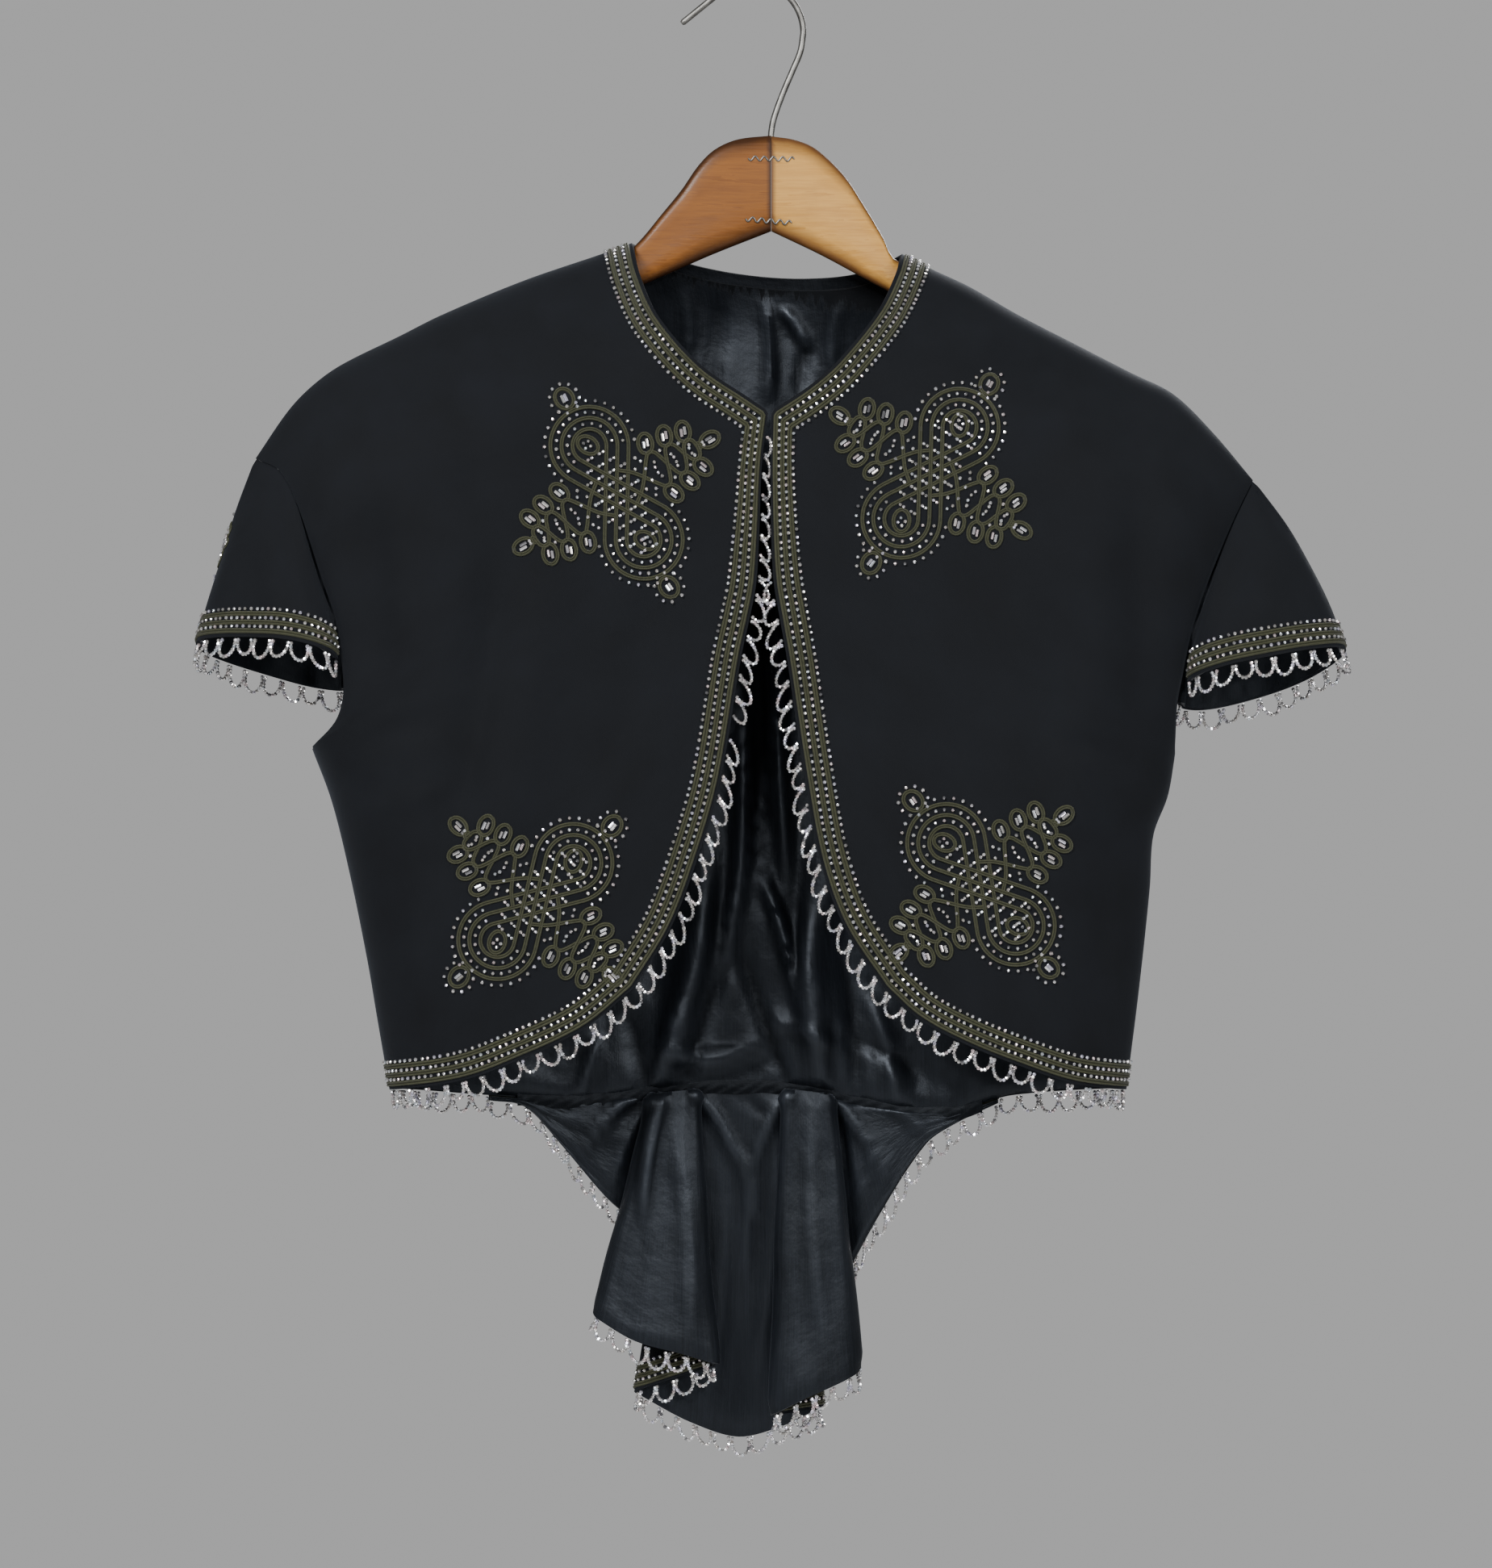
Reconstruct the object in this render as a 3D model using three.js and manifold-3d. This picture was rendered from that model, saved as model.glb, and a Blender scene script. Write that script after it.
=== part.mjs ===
// A cropped black wool shrug on a wooden clothes hanger. Millimetres, +Z up, the front towards -Y.
// The origin is the underside of the hook's wire at its top, where a rail carries the hanger.
// "left" and "right" are as seen from the front: left is towards -X.
import * as THREE from "three";
import { mergeVertices } from "three/addons/utils/BufferGeometryUtils.js";
import Module from "manifold-3d";

// ---- driving dimensions ----
const SEAM_GAP = 0.3; // between pieces that meet at a seam
const WOOL = 1.6; // thickness of the wool cloth
const SLEEVE_GAP = 0.5; // at the armhole
const SILK = 0.9; // thickness of the lining
const LINING_INSET = WOOL + SEAM_GAP; // from the wool's face to the lining
const TRIM_LIFT = 0.45; // from the cloth's face to what is sewn on it

const FRONT_DEPTH = 62; // how far the fronts stand before the hanger at the chest
const BACK_DEPTH = 48; // how far the back stands behind it
const SHOULDER_REACH = 95; // height over which the cloth falls from the shoulder line to that depth
const SHOULDER_ROLL = { drop: 12, share: 0.22 }; // the small roll over the hanger's edge
const SIDE_REACH = 110; // width over which the cloth comes back to the side seam
const NECK_RISE = 45; // how much higher the shoulder line would pass over the open neck
const CENTRE_X = 11; // the hanger's joint
const SWEEP = { forward: 24, span: 220, power: 1.6 }; // the hanger's arms and the shoulders reach forward

const BORDER = { braids: [3, 8, 13], width: 3, height: 1, base: 0.4 }; // three braid rows, from the edge
const BAND = 17; // width of the cloth's edge that the border covers
// The strung beads that hang from the edges: each swag's nodes along its pitch and down its drop.
const SWAG = { pitch: 13.5, drop: 8.5, radius: 0.8, gap: 0.6, path: [[0.02, 0], [0.33, 1], [0.69, 1]] };

const WIRE_RADIUS = 1.8;
const HOOK = { radius: 29.2, centreZ: -27.4, tipAngle: 129, tipLength: 27.5, stemDepth: 14 };
const HANGER = { halfThickness: 5.5, bevel: 2.2, clearance: 2.3 };

// ---- outlines, seen from the front: each row is [x, z] ----
const OUTLINE = {
  left: {
    shoulder: [[-68, -147], [-84, -153], [-129, -169], [-175, -189], [-198, -201],
      [-231, -218], [-247, -230], [-260, -244], [-278, -271]],
    armhole: [[-278, -271], [-263, -279], [-252, -300], [-239, -339], [-231, -363],
      [-227, -395], [-228, -409], [-233, -420], [-247, -433]],
    side: [[-247, -433], [-236, -463], [-226, -504], [-216, -554], [-211, -584], [-204, -625]],
    neck: [[-68, -147], [-63, -168], [-52, -193], [-29, -220], [-3, -238], [9, -246]],
    opening: [[9, -246], [5, -276], [2, -320], [-6, -381], [-17, -451], [-29, -494], [-45, -533], [-66, -567]],
    hem: [[-66, -567], [-93, -589], [-131, -607], [-161, -618], [-204, -625]],
  },
  right: {
    shoulder: [[85, -153], [100, -161], [123, -172], [150, -188], [182, -205],
      [214, -222], [237, -234], [259, -256], [281, -283]],
    armhole: [[281, -283], [268, -309], [255, -340], [246, -367], [241, -392], [238, -410], [238, -437]],
    side: [[238, -437], [234, -460], [226, -482], [224, -512], [218, -569], [211, -625]],
    neck: [[85, -153], [81, -167], [70, -190], [48, -218], [32, -232], [11, -246]],
    opening: [[11, -246], [12, -276], [14, -320], [19, -385], [28, -448], [37, -496], [51, -532], [74, -567]],
    hem: [[74, -567], [93, -584], [119, -598], [149, -610], [179, -620], [211, -625]],
  },
};
const BACK_NECK = [[-68, -147], [-33, -156], [-1, -161], [32, -163], [62, -161], [85, -153]];
const BACK_WAIST = [[-204, -625], [-150, -631], [-96, -634], [-59, -630], [-8, -626], [36, -629],
  [52, -633], [86, -640], [116, -641], [132, -636], [151, -631], [211, -625]];

// Soft vertical folds in the cloth: a line from (x0, z0) to (x1, z1), its half-width and height.
const FOLDS = {
  front: [
    { x0: -140, z0: -330, x1: -168, z1: -490, width: 13, height: -4 },
    { x0: -112, z0: -340, x1: -138, z1: -500, width: 16, height: 3 },
    { x0: -214, z0: -300, x1: -206, z1: -400, width: 13, height: -5 },
    { x0: 214, z0: -290, x1: 216, z1: -420, width: 13, height: -6 },
    { x0: 178, z0: -420, x1: 170, z1: -590, width: 18, height: 3 },
  ],
  back: [
    { x0: -120, z0: -300, x1: -70, z1: -560, width: 16, height: 4 },
    { x0: 130, z0: -310, x1: 76, z1: -560, width: 16, height: 4 },
    { x0: -26, z0: -480, x1: -44, z1: -620, width: 11, height: -5 },
    { x0: 44, z0: -480, x1: 34, z1: -620, width: 11, height: -5 },
  ],
};

// The tail's columns from left to right. Each runs from the waist seam to the hem, and stands so far
// forward of the back's own surface there. `fold` marks a turned edge, which is rounded.
const TAIL = [
  { waistX: -150, waistForward: 0, hemX: -150, hemZ: -637, hemForward: 0 },
  { waistX: -115, waistForward: 0, hemX: -111, hemZ: -660, hemForward: 0 },
  { waistX: -80, waistForward: 0, hemX: -84, hemZ: -690, hemForward: 0 },
  { waistX: -50, waistForward: 0, hemX: -60, hemZ: -712, hemForward: -4, fold: true },
  { waistX: -58, waistForward: 9, hemX: -91, hemZ: -757, hemForward: 10, fold: true },
  { waistX: -50, waistForward: 11, hemX: -66, hemZ: -771, hemForward: 22 },
  { waistX: -39, waistForward: 11, hemX: -40, hemZ: -778, hemForward: 26 },
  { waistX: -31, waistForward: 9, hemX: -19, hemZ: -785, hemForward: 20, fold: true },
  { waistX: -40, waistForward: 0, hemX: -69, hemZ: -802, hemForward: 0, fold: true },
  { waistX: -25, waistForward: 0, hemX: -35, hemZ: -821, hemForward: -8 },
  { waistX: -5, waistForward: 0, hemX: -8, hemZ: -830, hemForward: -14 },
  { waistX: 12, waistForward: 0, hemX: 17, hemZ: -824, hemForward: -12 },
  { waistX: 29, waistForward: 0, hemX: 43, hemZ: -811, hemForward: -2, fold: true },
  { waistX: 19, waistForward: 9, hemX: 10, hemZ: -815, hemForward: 18, fold: true },
  { waistX: 27, waistForward: 11, hemX: 30, hemZ: -804, hemForward: 26 },
  { waistX: 38, waistForward: 11, hemX: 48, hemZ: -796, hemForward: 22 },
  { waistX: 46, waistForward: 9, hemX: 62, hemZ: -789, hemForward: 10, fold: true },
  { waistX: 38, waistForward: 0, hemX: 50, hemZ: -745, hemForward: -4, fold: true },
  { waistX: 60, waistForward: 0, hemX: 72, hemZ: -703, hemForward: 0 },
  { waistX: 88, waistForward: 0, hemX: 100, hemZ: -660, hemForward: 0 },
  { waistX: 116, waistForward: 0, hemX: 116, hemZ: -648, hemForward: 0 },
];
const TAIL_OUT = 1.0; // the tail's wool lies this far outside the columns' own surface

// Each sleeve's hem: its outer point, where it meets the armhole at the front and the back, and how far
// it puffs out and rises between them.
const SLEEVE = {
  left: { outer: [-311, -377], frontEnd: [-229.4, -384], backEnd: [-229, -399], puff: 27,
    frontRise: 9, backRise: -5, bulge: 3 },
  right: { outer: [333, -379], frontEnd: [243, -396], backEnd: [240.6, -407], puff: 27,
    frontRise: 6, backRise: -12, bulge: 6 },
};

// Knot ornaments: a belt crossed between two eyes, with a lobed leaf either side.
const KNOT = { eyeHalf: 30, eyeRadius: 20, arcSteps: 8, lineSteps: 5, half: 1.5, height: 1.3, lift: 0.7,
  petals: [[17, 13, 1.9], [31, 13, 1.5], [44, 9, 0.9]], petalReach: 6.5, leafTip: 55 };
const KNOTS_FRONT = [
  { name: "knot_top_left", x: -75, z: -292, turn: -60, side: "left" },
  { name: "knot_top_right", x: 99, z: -281, turn: 60, side: "right" },
  { name: "knot_low_left", x: -121, z: -517, turn: 48, side: "left" },
  { name: "knot_low_right", x: 128, z: -507, turn: -49, side: "right" },
];
const SLEEVE_KNOT = { scale: 0.42, row: 1.5, column: 9.2, perRow: 30, perColumn: 13 };

// ---- curves ----
// A smooth curve through the rows, run by its length: at(0) is the first row and at(1) the last.
function curve(rows, samples = 240) {
  const knots = [0];
  for (let i = 1; i < rows.length; i++) {
    knots.push(knots[i - 1] + Math.hypot(...rows[i].map((v, k) => v - rows[i - 1][k])));
  }
  const slope = rows.map((row, i) => {
    const a = Math.max(i - 1, 0);
    const b = Math.min(i + 1, rows.length - 1);
    return row.map((_, k) => (rows[b][k] - rows[a][k]) / (knots[b] - knots[a]));
  });
  const points = [];
  for (let n = 0; n <= samples; n++) {
    const s = (knots[knots.length - 1] * n) / samples;
    let i = 0;
    while (i < rows.length - 2 && s > knots[i + 1]) i++;
    const h = knots[i + 1] - knots[i];
    const t = (s - knots[i]) / h;
    const [h00, h10] = [(1 + 2 * t) * (1 - t) ** 2, t * (1 - t) ** 2];
    const [h01, h11] = [t * t * (3 - 2 * t), t * t * (t - 1)];
    points.push(rows[i].map((v, k) =>
      h00 * v + h10 * h * slope[i][k] + h01 * rows[i + 1][k] + h11 * h * slope[i + 1][k]));
  }
  const run = [0];
  for (let n = 1; n <= samples; n++) {
    run.push(run[n - 1] + Math.hypot(...points[n].map((v, k) => v - points[n - 1][k])));
  }
  const length = run[samples];
  const at = (share) => {
    const s = Math.min(Math.max(share, 0), 1) * length;
    let lo = 0;
    let hi = samples;
    while (hi - lo > 1) {
      const mid = (lo + hi) >> 1;
      if (run[mid] <= s) lo = mid;
      else hi = mid;
    }
    const t = (s - run[lo]) / (run[hi] - run[lo]);
    return points[lo].map((v, k) => v + (points[hi][k] - v) * t);
  };
  return { at, length, points };
}

const CURVES = Object.fromEntries(Object.entries(OUTLINE).map(([side, parts]) =>
  [side, Object.fromEntries(Object.entries(parts).map(([name, rows]) => [name, curve(rows)]))]));
const BACK_CURVES = { neck: curve(BACK_NECK), waist: curve(BACK_WAIST) };

// The value of a curve's second coordinate where its first one is `x`, or the reverse with `from` 1.
function read(points, value, from = 0) {
  const to = 1 - from;
  const rising = points[points.length - 1][from] > points[0][from];
  const list = rising ? points : [...points].reverse();
  if (value <= list[0][from]) return list[0][to];
  for (let i = 1; i < list.length; i++) {
    if (value <= list[i][from]) {
      const t = (value - list[i - 1][from]) / (list[i][from] - list[i - 1][from] || 1);
      return list[i - 1][to] + (list[i][to] - list[i - 1][to]) * t;
    }
  }
  return list[list.length - 1][to];
}

const mix = (a, b, t) => a + (b - a) * t;
const clamp = (v, lo, hi) => Math.min(Math.max(v, lo), hi);
const quarter = (t) => Math.sqrt(1 - (1 - clamp(t, 0, 1)) ** 2);
const ease = (t) => clamp(t, 0, 1) ** 2 * (3 - 2 * clamp(t, 0, 1));

// ---- the body's surface: how far the cloth stands before or behind the hanger at (x, z) ----
function shoulderZ(x) {
  const [l, r] = [OUTLINE.left.shoulder[0], OUTLINE.right.shoulder[0]];
  if (x < l[0]) return read(CURVES.left.shoulder.points, x);
  if (x > r[0]) return read(CURVES.right.shoulder.points, x);
  const t = (x - l[0]) / (r[0] - l[0]);
  return mix(l[1], r[1], t) + NECK_RISE * Math.sin(Math.PI * t);
}

function sideX(side, z) {
  const [top, under] = [OUTLINE[side].armhole[0], OUTLINE[side].side[0]];
  if (z > under[1]) return mix(under[0], top[0], (z - under[1]) / (top[1] - under[1]));
  return read(CURVES[side].side.points, z, 1);
}

function middleY(x) {
  return -SWEEP.forward * (Math.abs(x - CENTRE_X) / SWEEP.span) ** SWEEP.power;
}

function fold(rows, x, z) {
  let sum = 0;
  for (const f of rows) {
    const [dx, dz] = [f.x1 - f.x0, f.z1 - f.z0];
    const along = ((x - f.x0) * dx + (z - f.z0) * dz) / (dx * dx + dz * dz);
    const away = ((x - f.x0) * dz - (z - f.z0) * dx) / Math.hypot(dx, dz);
    const window = ease((along + 0.25) / 0.5) * ease((1.25 - along) / 0.5);
    sum += f.height * window * Math.exp(-((away / f.width) ** 2));
  }
  return sum;
}

function standOff(x, z, depth, folds) {
  const drop = Math.max(shoulderZ(x) - z, 0);
  const roll = SHOULDER_ROLL.share * quarter(drop / SHOULDER_ROLL.drop);
  const fall = (1 - SHOULDER_ROLL.share) * Math.sin((Math.PI / 2) * clamp(drop / SHOULDER_REACH, 0, 1));
  const sideways = quarter((x - sideX("left", z)) / SIDE_REACH) * quarter((sideX("right", z) - x) / SIDE_REACH);
  return (roll + fall) * sideways * (depth + fold(folds, x, z));
}

const frontDepth = (z) => FRONT_DEPTH - 8 * ease((-460 - z) / 170);
const backDepth = (z) => BACK_DEPTH - 5 * ease((-420 - z) / 180);
const frontY = (x, z) => middleY(x) - SEAM_GAP / 2 - standOff(x, z, frontDepth(z), FOLDS.front);
const backY = (x, z) => middleY(x) + SEAM_GAP / 2 + standOff(x, z, backDepth(z), FOLDS.back);

// The cloth's outward normal at (x, z) on a front (face -1) or on the back (face 1).
function bodyNormal(x, z, face) {
  const y = face < 0 ? frontY : backY;
  const step = 0.4;
  const low = Math.min(z, shoulderZ(x) - 2 * step);
  const slopeX = (y(x + step, low) - y(x - step, low)) / (2 * step);
  const slopeZ = (y(x, low + step) - y(x, low - step)) / (2 * step);
  return new THREE.Vector3(-slopeX, 1, -slopeZ).multiplyScalar(face).normalize();
}

const bodyPoint = (x, z, face) => new THREE.Vector3(x, face < 0 ? frontY(x, z) : backY(x, z), z);

// ---- panels ----
// Rows run from the shoulder to the band along the hem, close together over the shoulder's roll. The
// neck's point and the underarm each fall on a row.
const NECK_SHARE = 0.27;
const UNDERARM_SHARE = 0.47;
const ROWS = [0, 0.004, 0.014, 0.035, 0.07, 0.125, 0.195, NECK_SHARE, 0.335, 0.4, UNDERARM_SHARE,
  0.56, 0.66, 0.76, 0.87, 1];
const FRONT_COLUMNS = 9;
const CORNER_STEP = 4; // either side of the front's lower corner
const columnShare = (i, count) => 1 - (1 - i / count) ** 1.7;

const twoPart = (first, second, corner, v) =>
  v <= corner ? first.at(v / corner) : second.at((v - corner) / (1 - corner));

// The part of a curve between two of its shares, as a curve of its own.
const between = (c, from, to) => ({ at: (t) => c.at(mix(from, to, t)) });

// A point inside four edges, from its shares across (u) and down (v).
function patch(edges, u, v) {
  const [top, bottom, inner, outer] = [edges.top(u), edges.bottom(u), edges.inner(v), edges.outer(v)];
  const [tl, tr, bl, br] = [edges.top(0), edges.top(1), edges.bottom(0), edges.bottom(1)];
  return [0, 1].map((k) =>
    mix(top[k], bottom[k], v) + mix(inner[k], outer[k], u) -
    mix(mix(tl[k], tr[k], u), mix(bl[k], br[k], u), v));
}

// Unit normals of a grid, from its neighbours. `sign` turns them to the outside.
function gridNormals(grid, sign) {
  const [m, n] = [grid.length, grid[0].length];
  return grid.map((row, j) => row.map((_, i) => {
    const across = grid[j][Math.min(i + 1, n - 1)].clone().sub(grid[j][Math.max(i - 1, 0)]);
    const down = grid[Math.min(j + 1, m - 1)][i].clone().sub(grid[Math.max(j - 1, 0)][i]);
    return across.cross(down).multiplyScalar(sign).normalize();
  }));
}

const offsetGrid = (grid, normals, distance) =>
  grid.map((row, j) => row.map((p, i) => p.clone().addScaledVector(normals[j][i], distance)));

// A closed wall between two grids of the same size, as a geometry with its faces pointing out.
function wall(outer, inner) {
  const [m, n] = [outer.length, outer[0].length];
  const positions = [...outer.flat(), ...inner.flat()].flatMap((p) => [p.x, p.y, p.z]);
  const at = (layer, j, i) => layer * m * n + j * n + i;
  const index = [];
  const quad = (a, b, c, d) => index.push(a, b, c, a, c, d);
  for (let j = 0; j < m - 1; j++) {
    for (let i = 0; i < n - 1; i++) {
      quad(at(0, j, i), at(0, j + 1, i), at(0, j + 1, i + 1), at(0, j, i + 1));
      index.push(at(1, j, i), at(1, j + 1, i + 1), at(1, j + 1, i));
      index.push(at(1, j, i), at(1, j, i + 1), at(1, j + 1, i + 1));
    }
    quad(at(0, j, 0), at(1, j, 0), at(1, j + 1, 0), at(0, j + 1, 0));
    quad(at(0, j, n - 1), at(0, j + 1, n - 1), at(1, j + 1, n - 1), at(1, j, n - 1));
  }
  for (let i = 0; i < n - 1; i++) {
    quad(at(0, 0, i), at(0, 0, i + 1), at(1, 0, i + 1), at(1, 0, i));
    quad(at(0, m - 1, i), at(1, m - 1, i), at(1, m - 1, i + 1), at(0, m - 1, i + 1));
  }
  return facingOut(positions, index);
}

function facingOut(positions, index) {
  let volume = 0;
  const p = (i) => new THREE.Vector3(positions[3 * i], positions[3 * i + 1], positions[3 * i + 2]);
  for (let i = 0; i < index.length; i += 3) {
    volume += p(index[i]).dot(p(index[i + 1]).cross(p(index[i + 2])));
  }
  if (volume < 0) index.reverse();
  const geometry = new THREE.BufferGeometry();
  geometry.setAttribute("position", new THREE.Float32BufferAttribute(positions, 3));
  geometry.setIndex(index);
  return geometry;
}

// The normal along which the wall thickens. Beside the seams it turns into the plane between front and
// back, so the two never meet.
function wallNormal(x, z, face) {
  const normal = bodyNormal(x, z, face);
  const room = Math.abs(bodyPoint(x, z, face).y - middleY(x)) - SEAM_GAP / 2;
  const most = (0.8 * room) / WOOL;
  if (Math.abs(normal.y) <= most) return normal;
  const flat = Math.hypot(normal.x, normal.z);
  const scale = Math.sqrt(1 - most * most) / flat;
  return normal.set(normal.x * scale, face * most, normal.z * scale);
}

function panelOf(plan, face) {
  const grid = plan.map((row) => row.map(([x, z]) => bodyPoint(x, z, face)));
  const normals = plan.map((row) => row.map(([x, z]) => wallNormal(x, z, face)));
  return { grid, normals, geometry: wall(grid, offsetGrid(grid, normals, -WOOL)) };
}

// The front edge as one path: the neck, the opening, then the hem as far as the side seam.
function frontPath(side) {
  const c = CURVES[side];
  const parts = [c.neck, c.opening, c.hem];
  const length = parts.reduce((sum, p) => sum + p.length, 0);
  const at = (run) => {
    let s = run;
    for (const p of parts.slice(0, 2)) {
      if (s <= p.length) return p.at(s / p.length);
      s -= p.length;
    }
    return parts[2].at(s / parts[2].length);
  };
  const turn = side === "left" ? 1 : -1;
  const into = (from, to) => {
    const [a, b] = [at(from), at(to)];
    const size = Math.hypot(b[0] - a[0], b[1] - a[1]);
    return [((b[1] - a[1]) / size) * turn, (-(b[0] - a[0]) / size) * turn];
  };
  const neckEnd = c.neck.length;
  const corner = neckEnd + c.opening.length;
  // The point a band's width in from the edge.
  const inner = (s) => {
    if (s < 0.5) return c.shoulder.at(BAND / c.shoulder.length);
    if (s > length - 0.5) return c.side.at(1 - BAND / c.side.length);
    const here = at(s);
    if (Math.abs(s - neckEnd) < 0.5) {
      const [a, b] = [into(s - 4, s - 0.1), into(s + 0.1, s + 4)];
      const sum = [a[0] + b[0], a[1] + b[1]];
      const reach = (2 * BAND) / (sum[0] ** 2 + sum[1] ** 2);
      return [here[0] + sum[0] * reach, here[1] + sum[1] * reach];
    }
    const direction = into(s - 2, s + 2);
    return [here[0] + direction[0] * BAND, here[1] + direction[1] * BAND];
  };
  return { at, inner, length, neckEnd, corner };
}

// A front's grid: a patch a band's width inside the edges, and a band of cells square to them.
function frontPanel(side) {
  const c = CURVES[side];
  const path = frontPath(side);
  const rowRun = (v) => (v <= NECK_SHARE
    ? (v / NECK_SHARE) * path.neckEnd
    : mix(path.neckEnd, path.corner, (v - NECK_SHARE) / (1 - NECK_SHARE)));
  const hemRun = (u) => mix(path.corner, path.length, u);
  const shoulder = between(c.shoulder, BAND / c.shoulder.length, 1);
  const seam = between(c.side, 0, 1 - BAND / c.side.length);
  const edges = {
    top: (u) => shoulder.at(u),
    bottom: (u) => path.inner(hemRun(u)),
    inner: (v) => path.inner(rowRun(v)),
    outer: (v) => twoPart(c.armhole, seam, UNDERARM_SHARE, v),
  };
  const shares = Array.from({ length: FRONT_COLUMNS + 1 }, (_, i) => columnShare(i, FRONT_COLUMNS));
  const plan = ROWS.map((v) => {
    const edge = path.at(v < 1 ? rowRun(v) : path.corner - CORNER_STEP);
    return [edge, ...shares.map((u) => patch(edges, u, v))];
  });
  const hem = shares.map((u, i) => path.at(i ? hemRun(u) : path.corner + CORNER_STEP));
  plan.push([path.at(path.corner), ...hem]);
  const panel = panelOf(plan, -1);
  const last = ROWS.length;
  const strip = [];
  for (let j = 0; j < last - 1; j++) strip.push([[j, 0], [j, 1]]);
  strip.push([[last, 0], [last - 1, 1]]);
  for (let i = 2; i <= shares.length; i++) strip.push([[last, i], [last - 1, i]]);
  return { ...panel, strip: strip.map((pair, k) => stripStation(panel, ...pair, k < 4 ? 1.2 : 0)) };
}

// One station of a bordered edge: from the panel's vertex on the edge to the one a band's width in.
function stripStation({ grid, normals }, [ej, ei], [ij, ii], raise = 0) {
  const [edge, inner] = [grid[ej][ei], grid[ij][ii]];
  const [edgeNormal, innerNormal] = [normals[ej][ei], normals[ij][ii]];
  const width = Math.max(edge.distanceTo(inner), BAND);
  return {
    edge,
    out: edge.clone().sub(inner).normalize(),
    normal: edgeNormal,
    at: (distance, lift) => edge.clone().lerp(inner, distance / BAND)
      .addScaledVector(edgeNormal.clone().lerp(innerNormal, distance / width).normalize(), lift + raise),
  };
}

// The back's share across runs from -1 at the left side to 1 at the right side. The neck's points and
// the tail's ends each fall on a column.
const BACK_NECK_SHARE = 0.38;
const BACK_SHARES = [-1, -0.976, -0.922, -0.84, -0.74, -0.56, -BACK_NECK_SHARE, -0.25, -0.1, 0.1, 0.25,
  BACK_NECK_SHARE, 0.53, 0.69, 0.84, 0.922, 0.976, 1];
const TAIL_SHARES = [-0.74, 0.53];
const TAIL_ENDS = [-150, 116];
const HEM_ROW = 0.965; // the row a band's width above the hem

function shareAt(c, x) {
  let [lo, hi] = [0, 1];
  for (let k = 0; k < 30; k++) {
    const mid = (lo + hi) / 2;
    if (c.at(mid)[0] < x) lo = mid;
    else hi = mid;
  }
  return lo;
}

function backPanel() {
  const [l, r] = [CURVES.left, CURVES.right];
  const ends = TAIL_ENDS.map((x) => shareAt(BACK_CURVES.waist, x));
  const waistShare = (t) => {
    const [a, b] = TAIL_SHARES;
    if (t < a) return mix(0, ends[0], (t + 1) / (a + 1));
    if (t > b) return mix(ends[1], 1, (t - b) / (1 - b));
    return mix(ends[0], ends[1], (t - a) / (b - a));
  };
  const edges = {
    top: (u) => {
      const t = 2 * u - 1;
      if (Math.abs(t) <= BACK_NECK_SHARE) return BACK_CURVES.neck.at((t / BACK_NECK_SHARE + 1) / 2);
      return (t < 0 ? l : r).shoulder.at((Math.abs(t) - BACK_NECK_SHARE) / (1 - BACK_NECK_SHARE));
    },
    bottom: (u) => BACK_CURVES.waist.at(waistShare(2 * u - 1)),
    inner: (v) => twoPart(l.armhole, l.side, UNDERARM_SHARE, v),
    outer: (v) => twoPart(r.armhole, r.side, UNDERARM_SHARE, v),
  };
  const rows = [...ROWS.filter((v) => v < 0.9), HEM_ROW, 1];
  const plan = rows.map((v) => BACK_SHARES.map((t) => patch(edges, (t + 1) / 2, v)));
  const panel = panelOf(plan, 1);
  const last = rows.length - 1;
  const hem = BACK_SHARES.map((_, i) => stripStation(panel, [last, i], [last - 1, i]));
  const columns = TAIL_SHARES.map((t) => BACK_SHARES.indexOf(t));
  const inNeck = (t) => Math.abs(t) <= BACK_NECK_SHARE;
  const neckColumns = BACK_SHARES.filter(inNeck).map((t) => BACK_SHARES.indexOf(t));
  const neckDepth = rows.indexOf(0.035);
  return {
    ...panel,
    hemLeft: hem.slice(0, columns[0] + 1),
    hemRight: hem.slice(columns[1]),
    neck: shortened(neckColumns.map((i) => columnStation(panel, i, neckDepth))),
    waist: panel.grid[last],
  };
}

// The same stations with the first and last moved a little in.
function shortened(stations) {
  const moved = (a, b) => ({ at: (distance, lift) => a.at(distance, lift).lerp(b.at(distance, lift), 0.15) });
  const last = stations.length - 1;
  return [moved(stations[0], stations[1]), ...stations.slice(1, -1), moved(stations[last], stations[last - 1])];
}

// A station that follows a grid's column down from its top row.
function columnStation({ grid, normals }, i, depth) {
  const run = [0];
  for (let j = 1; j <= depth; j++) run.push(run[j - 1] + grid[j][i].distanceTo(grid[j - 1][i]));
  return {
    at: (distance, lift) => {
      const s = (distance / BAND) * run[depth];
      let j = 0;
      while (j < depth - 1 && s > run[j + 1]) j++;
      const t = (s - run[j]) / (run[j + 1] - run[j]);
      const normal = normals[j][i].clone().lerp(normals[j + 1][i], t).normalize();
      return grid[j][i].clone().lerp(grid[j + 1][i], t).addScaledVector(normal, lift + 1.5);
    },
  };
}

// The lining hangs inside the back, a little short of its edges.
function backLining({ grid, normals }) {
  const inside = (rows) => rows.slice(2).map((row) => row.slice(1, -1));
  const [points, ways] = [inside(grid), inside(normals)];
  const last = points.length - 1;
  points[last] = points[last].map((p, i) => p.clone().lerp(points[last - 1][i], 0.05));
  return wall(offsetGrid(points, ways, -LINING_INSET), offsetGrid(points, ways, -LINING_INSET - SILK));
}

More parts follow.
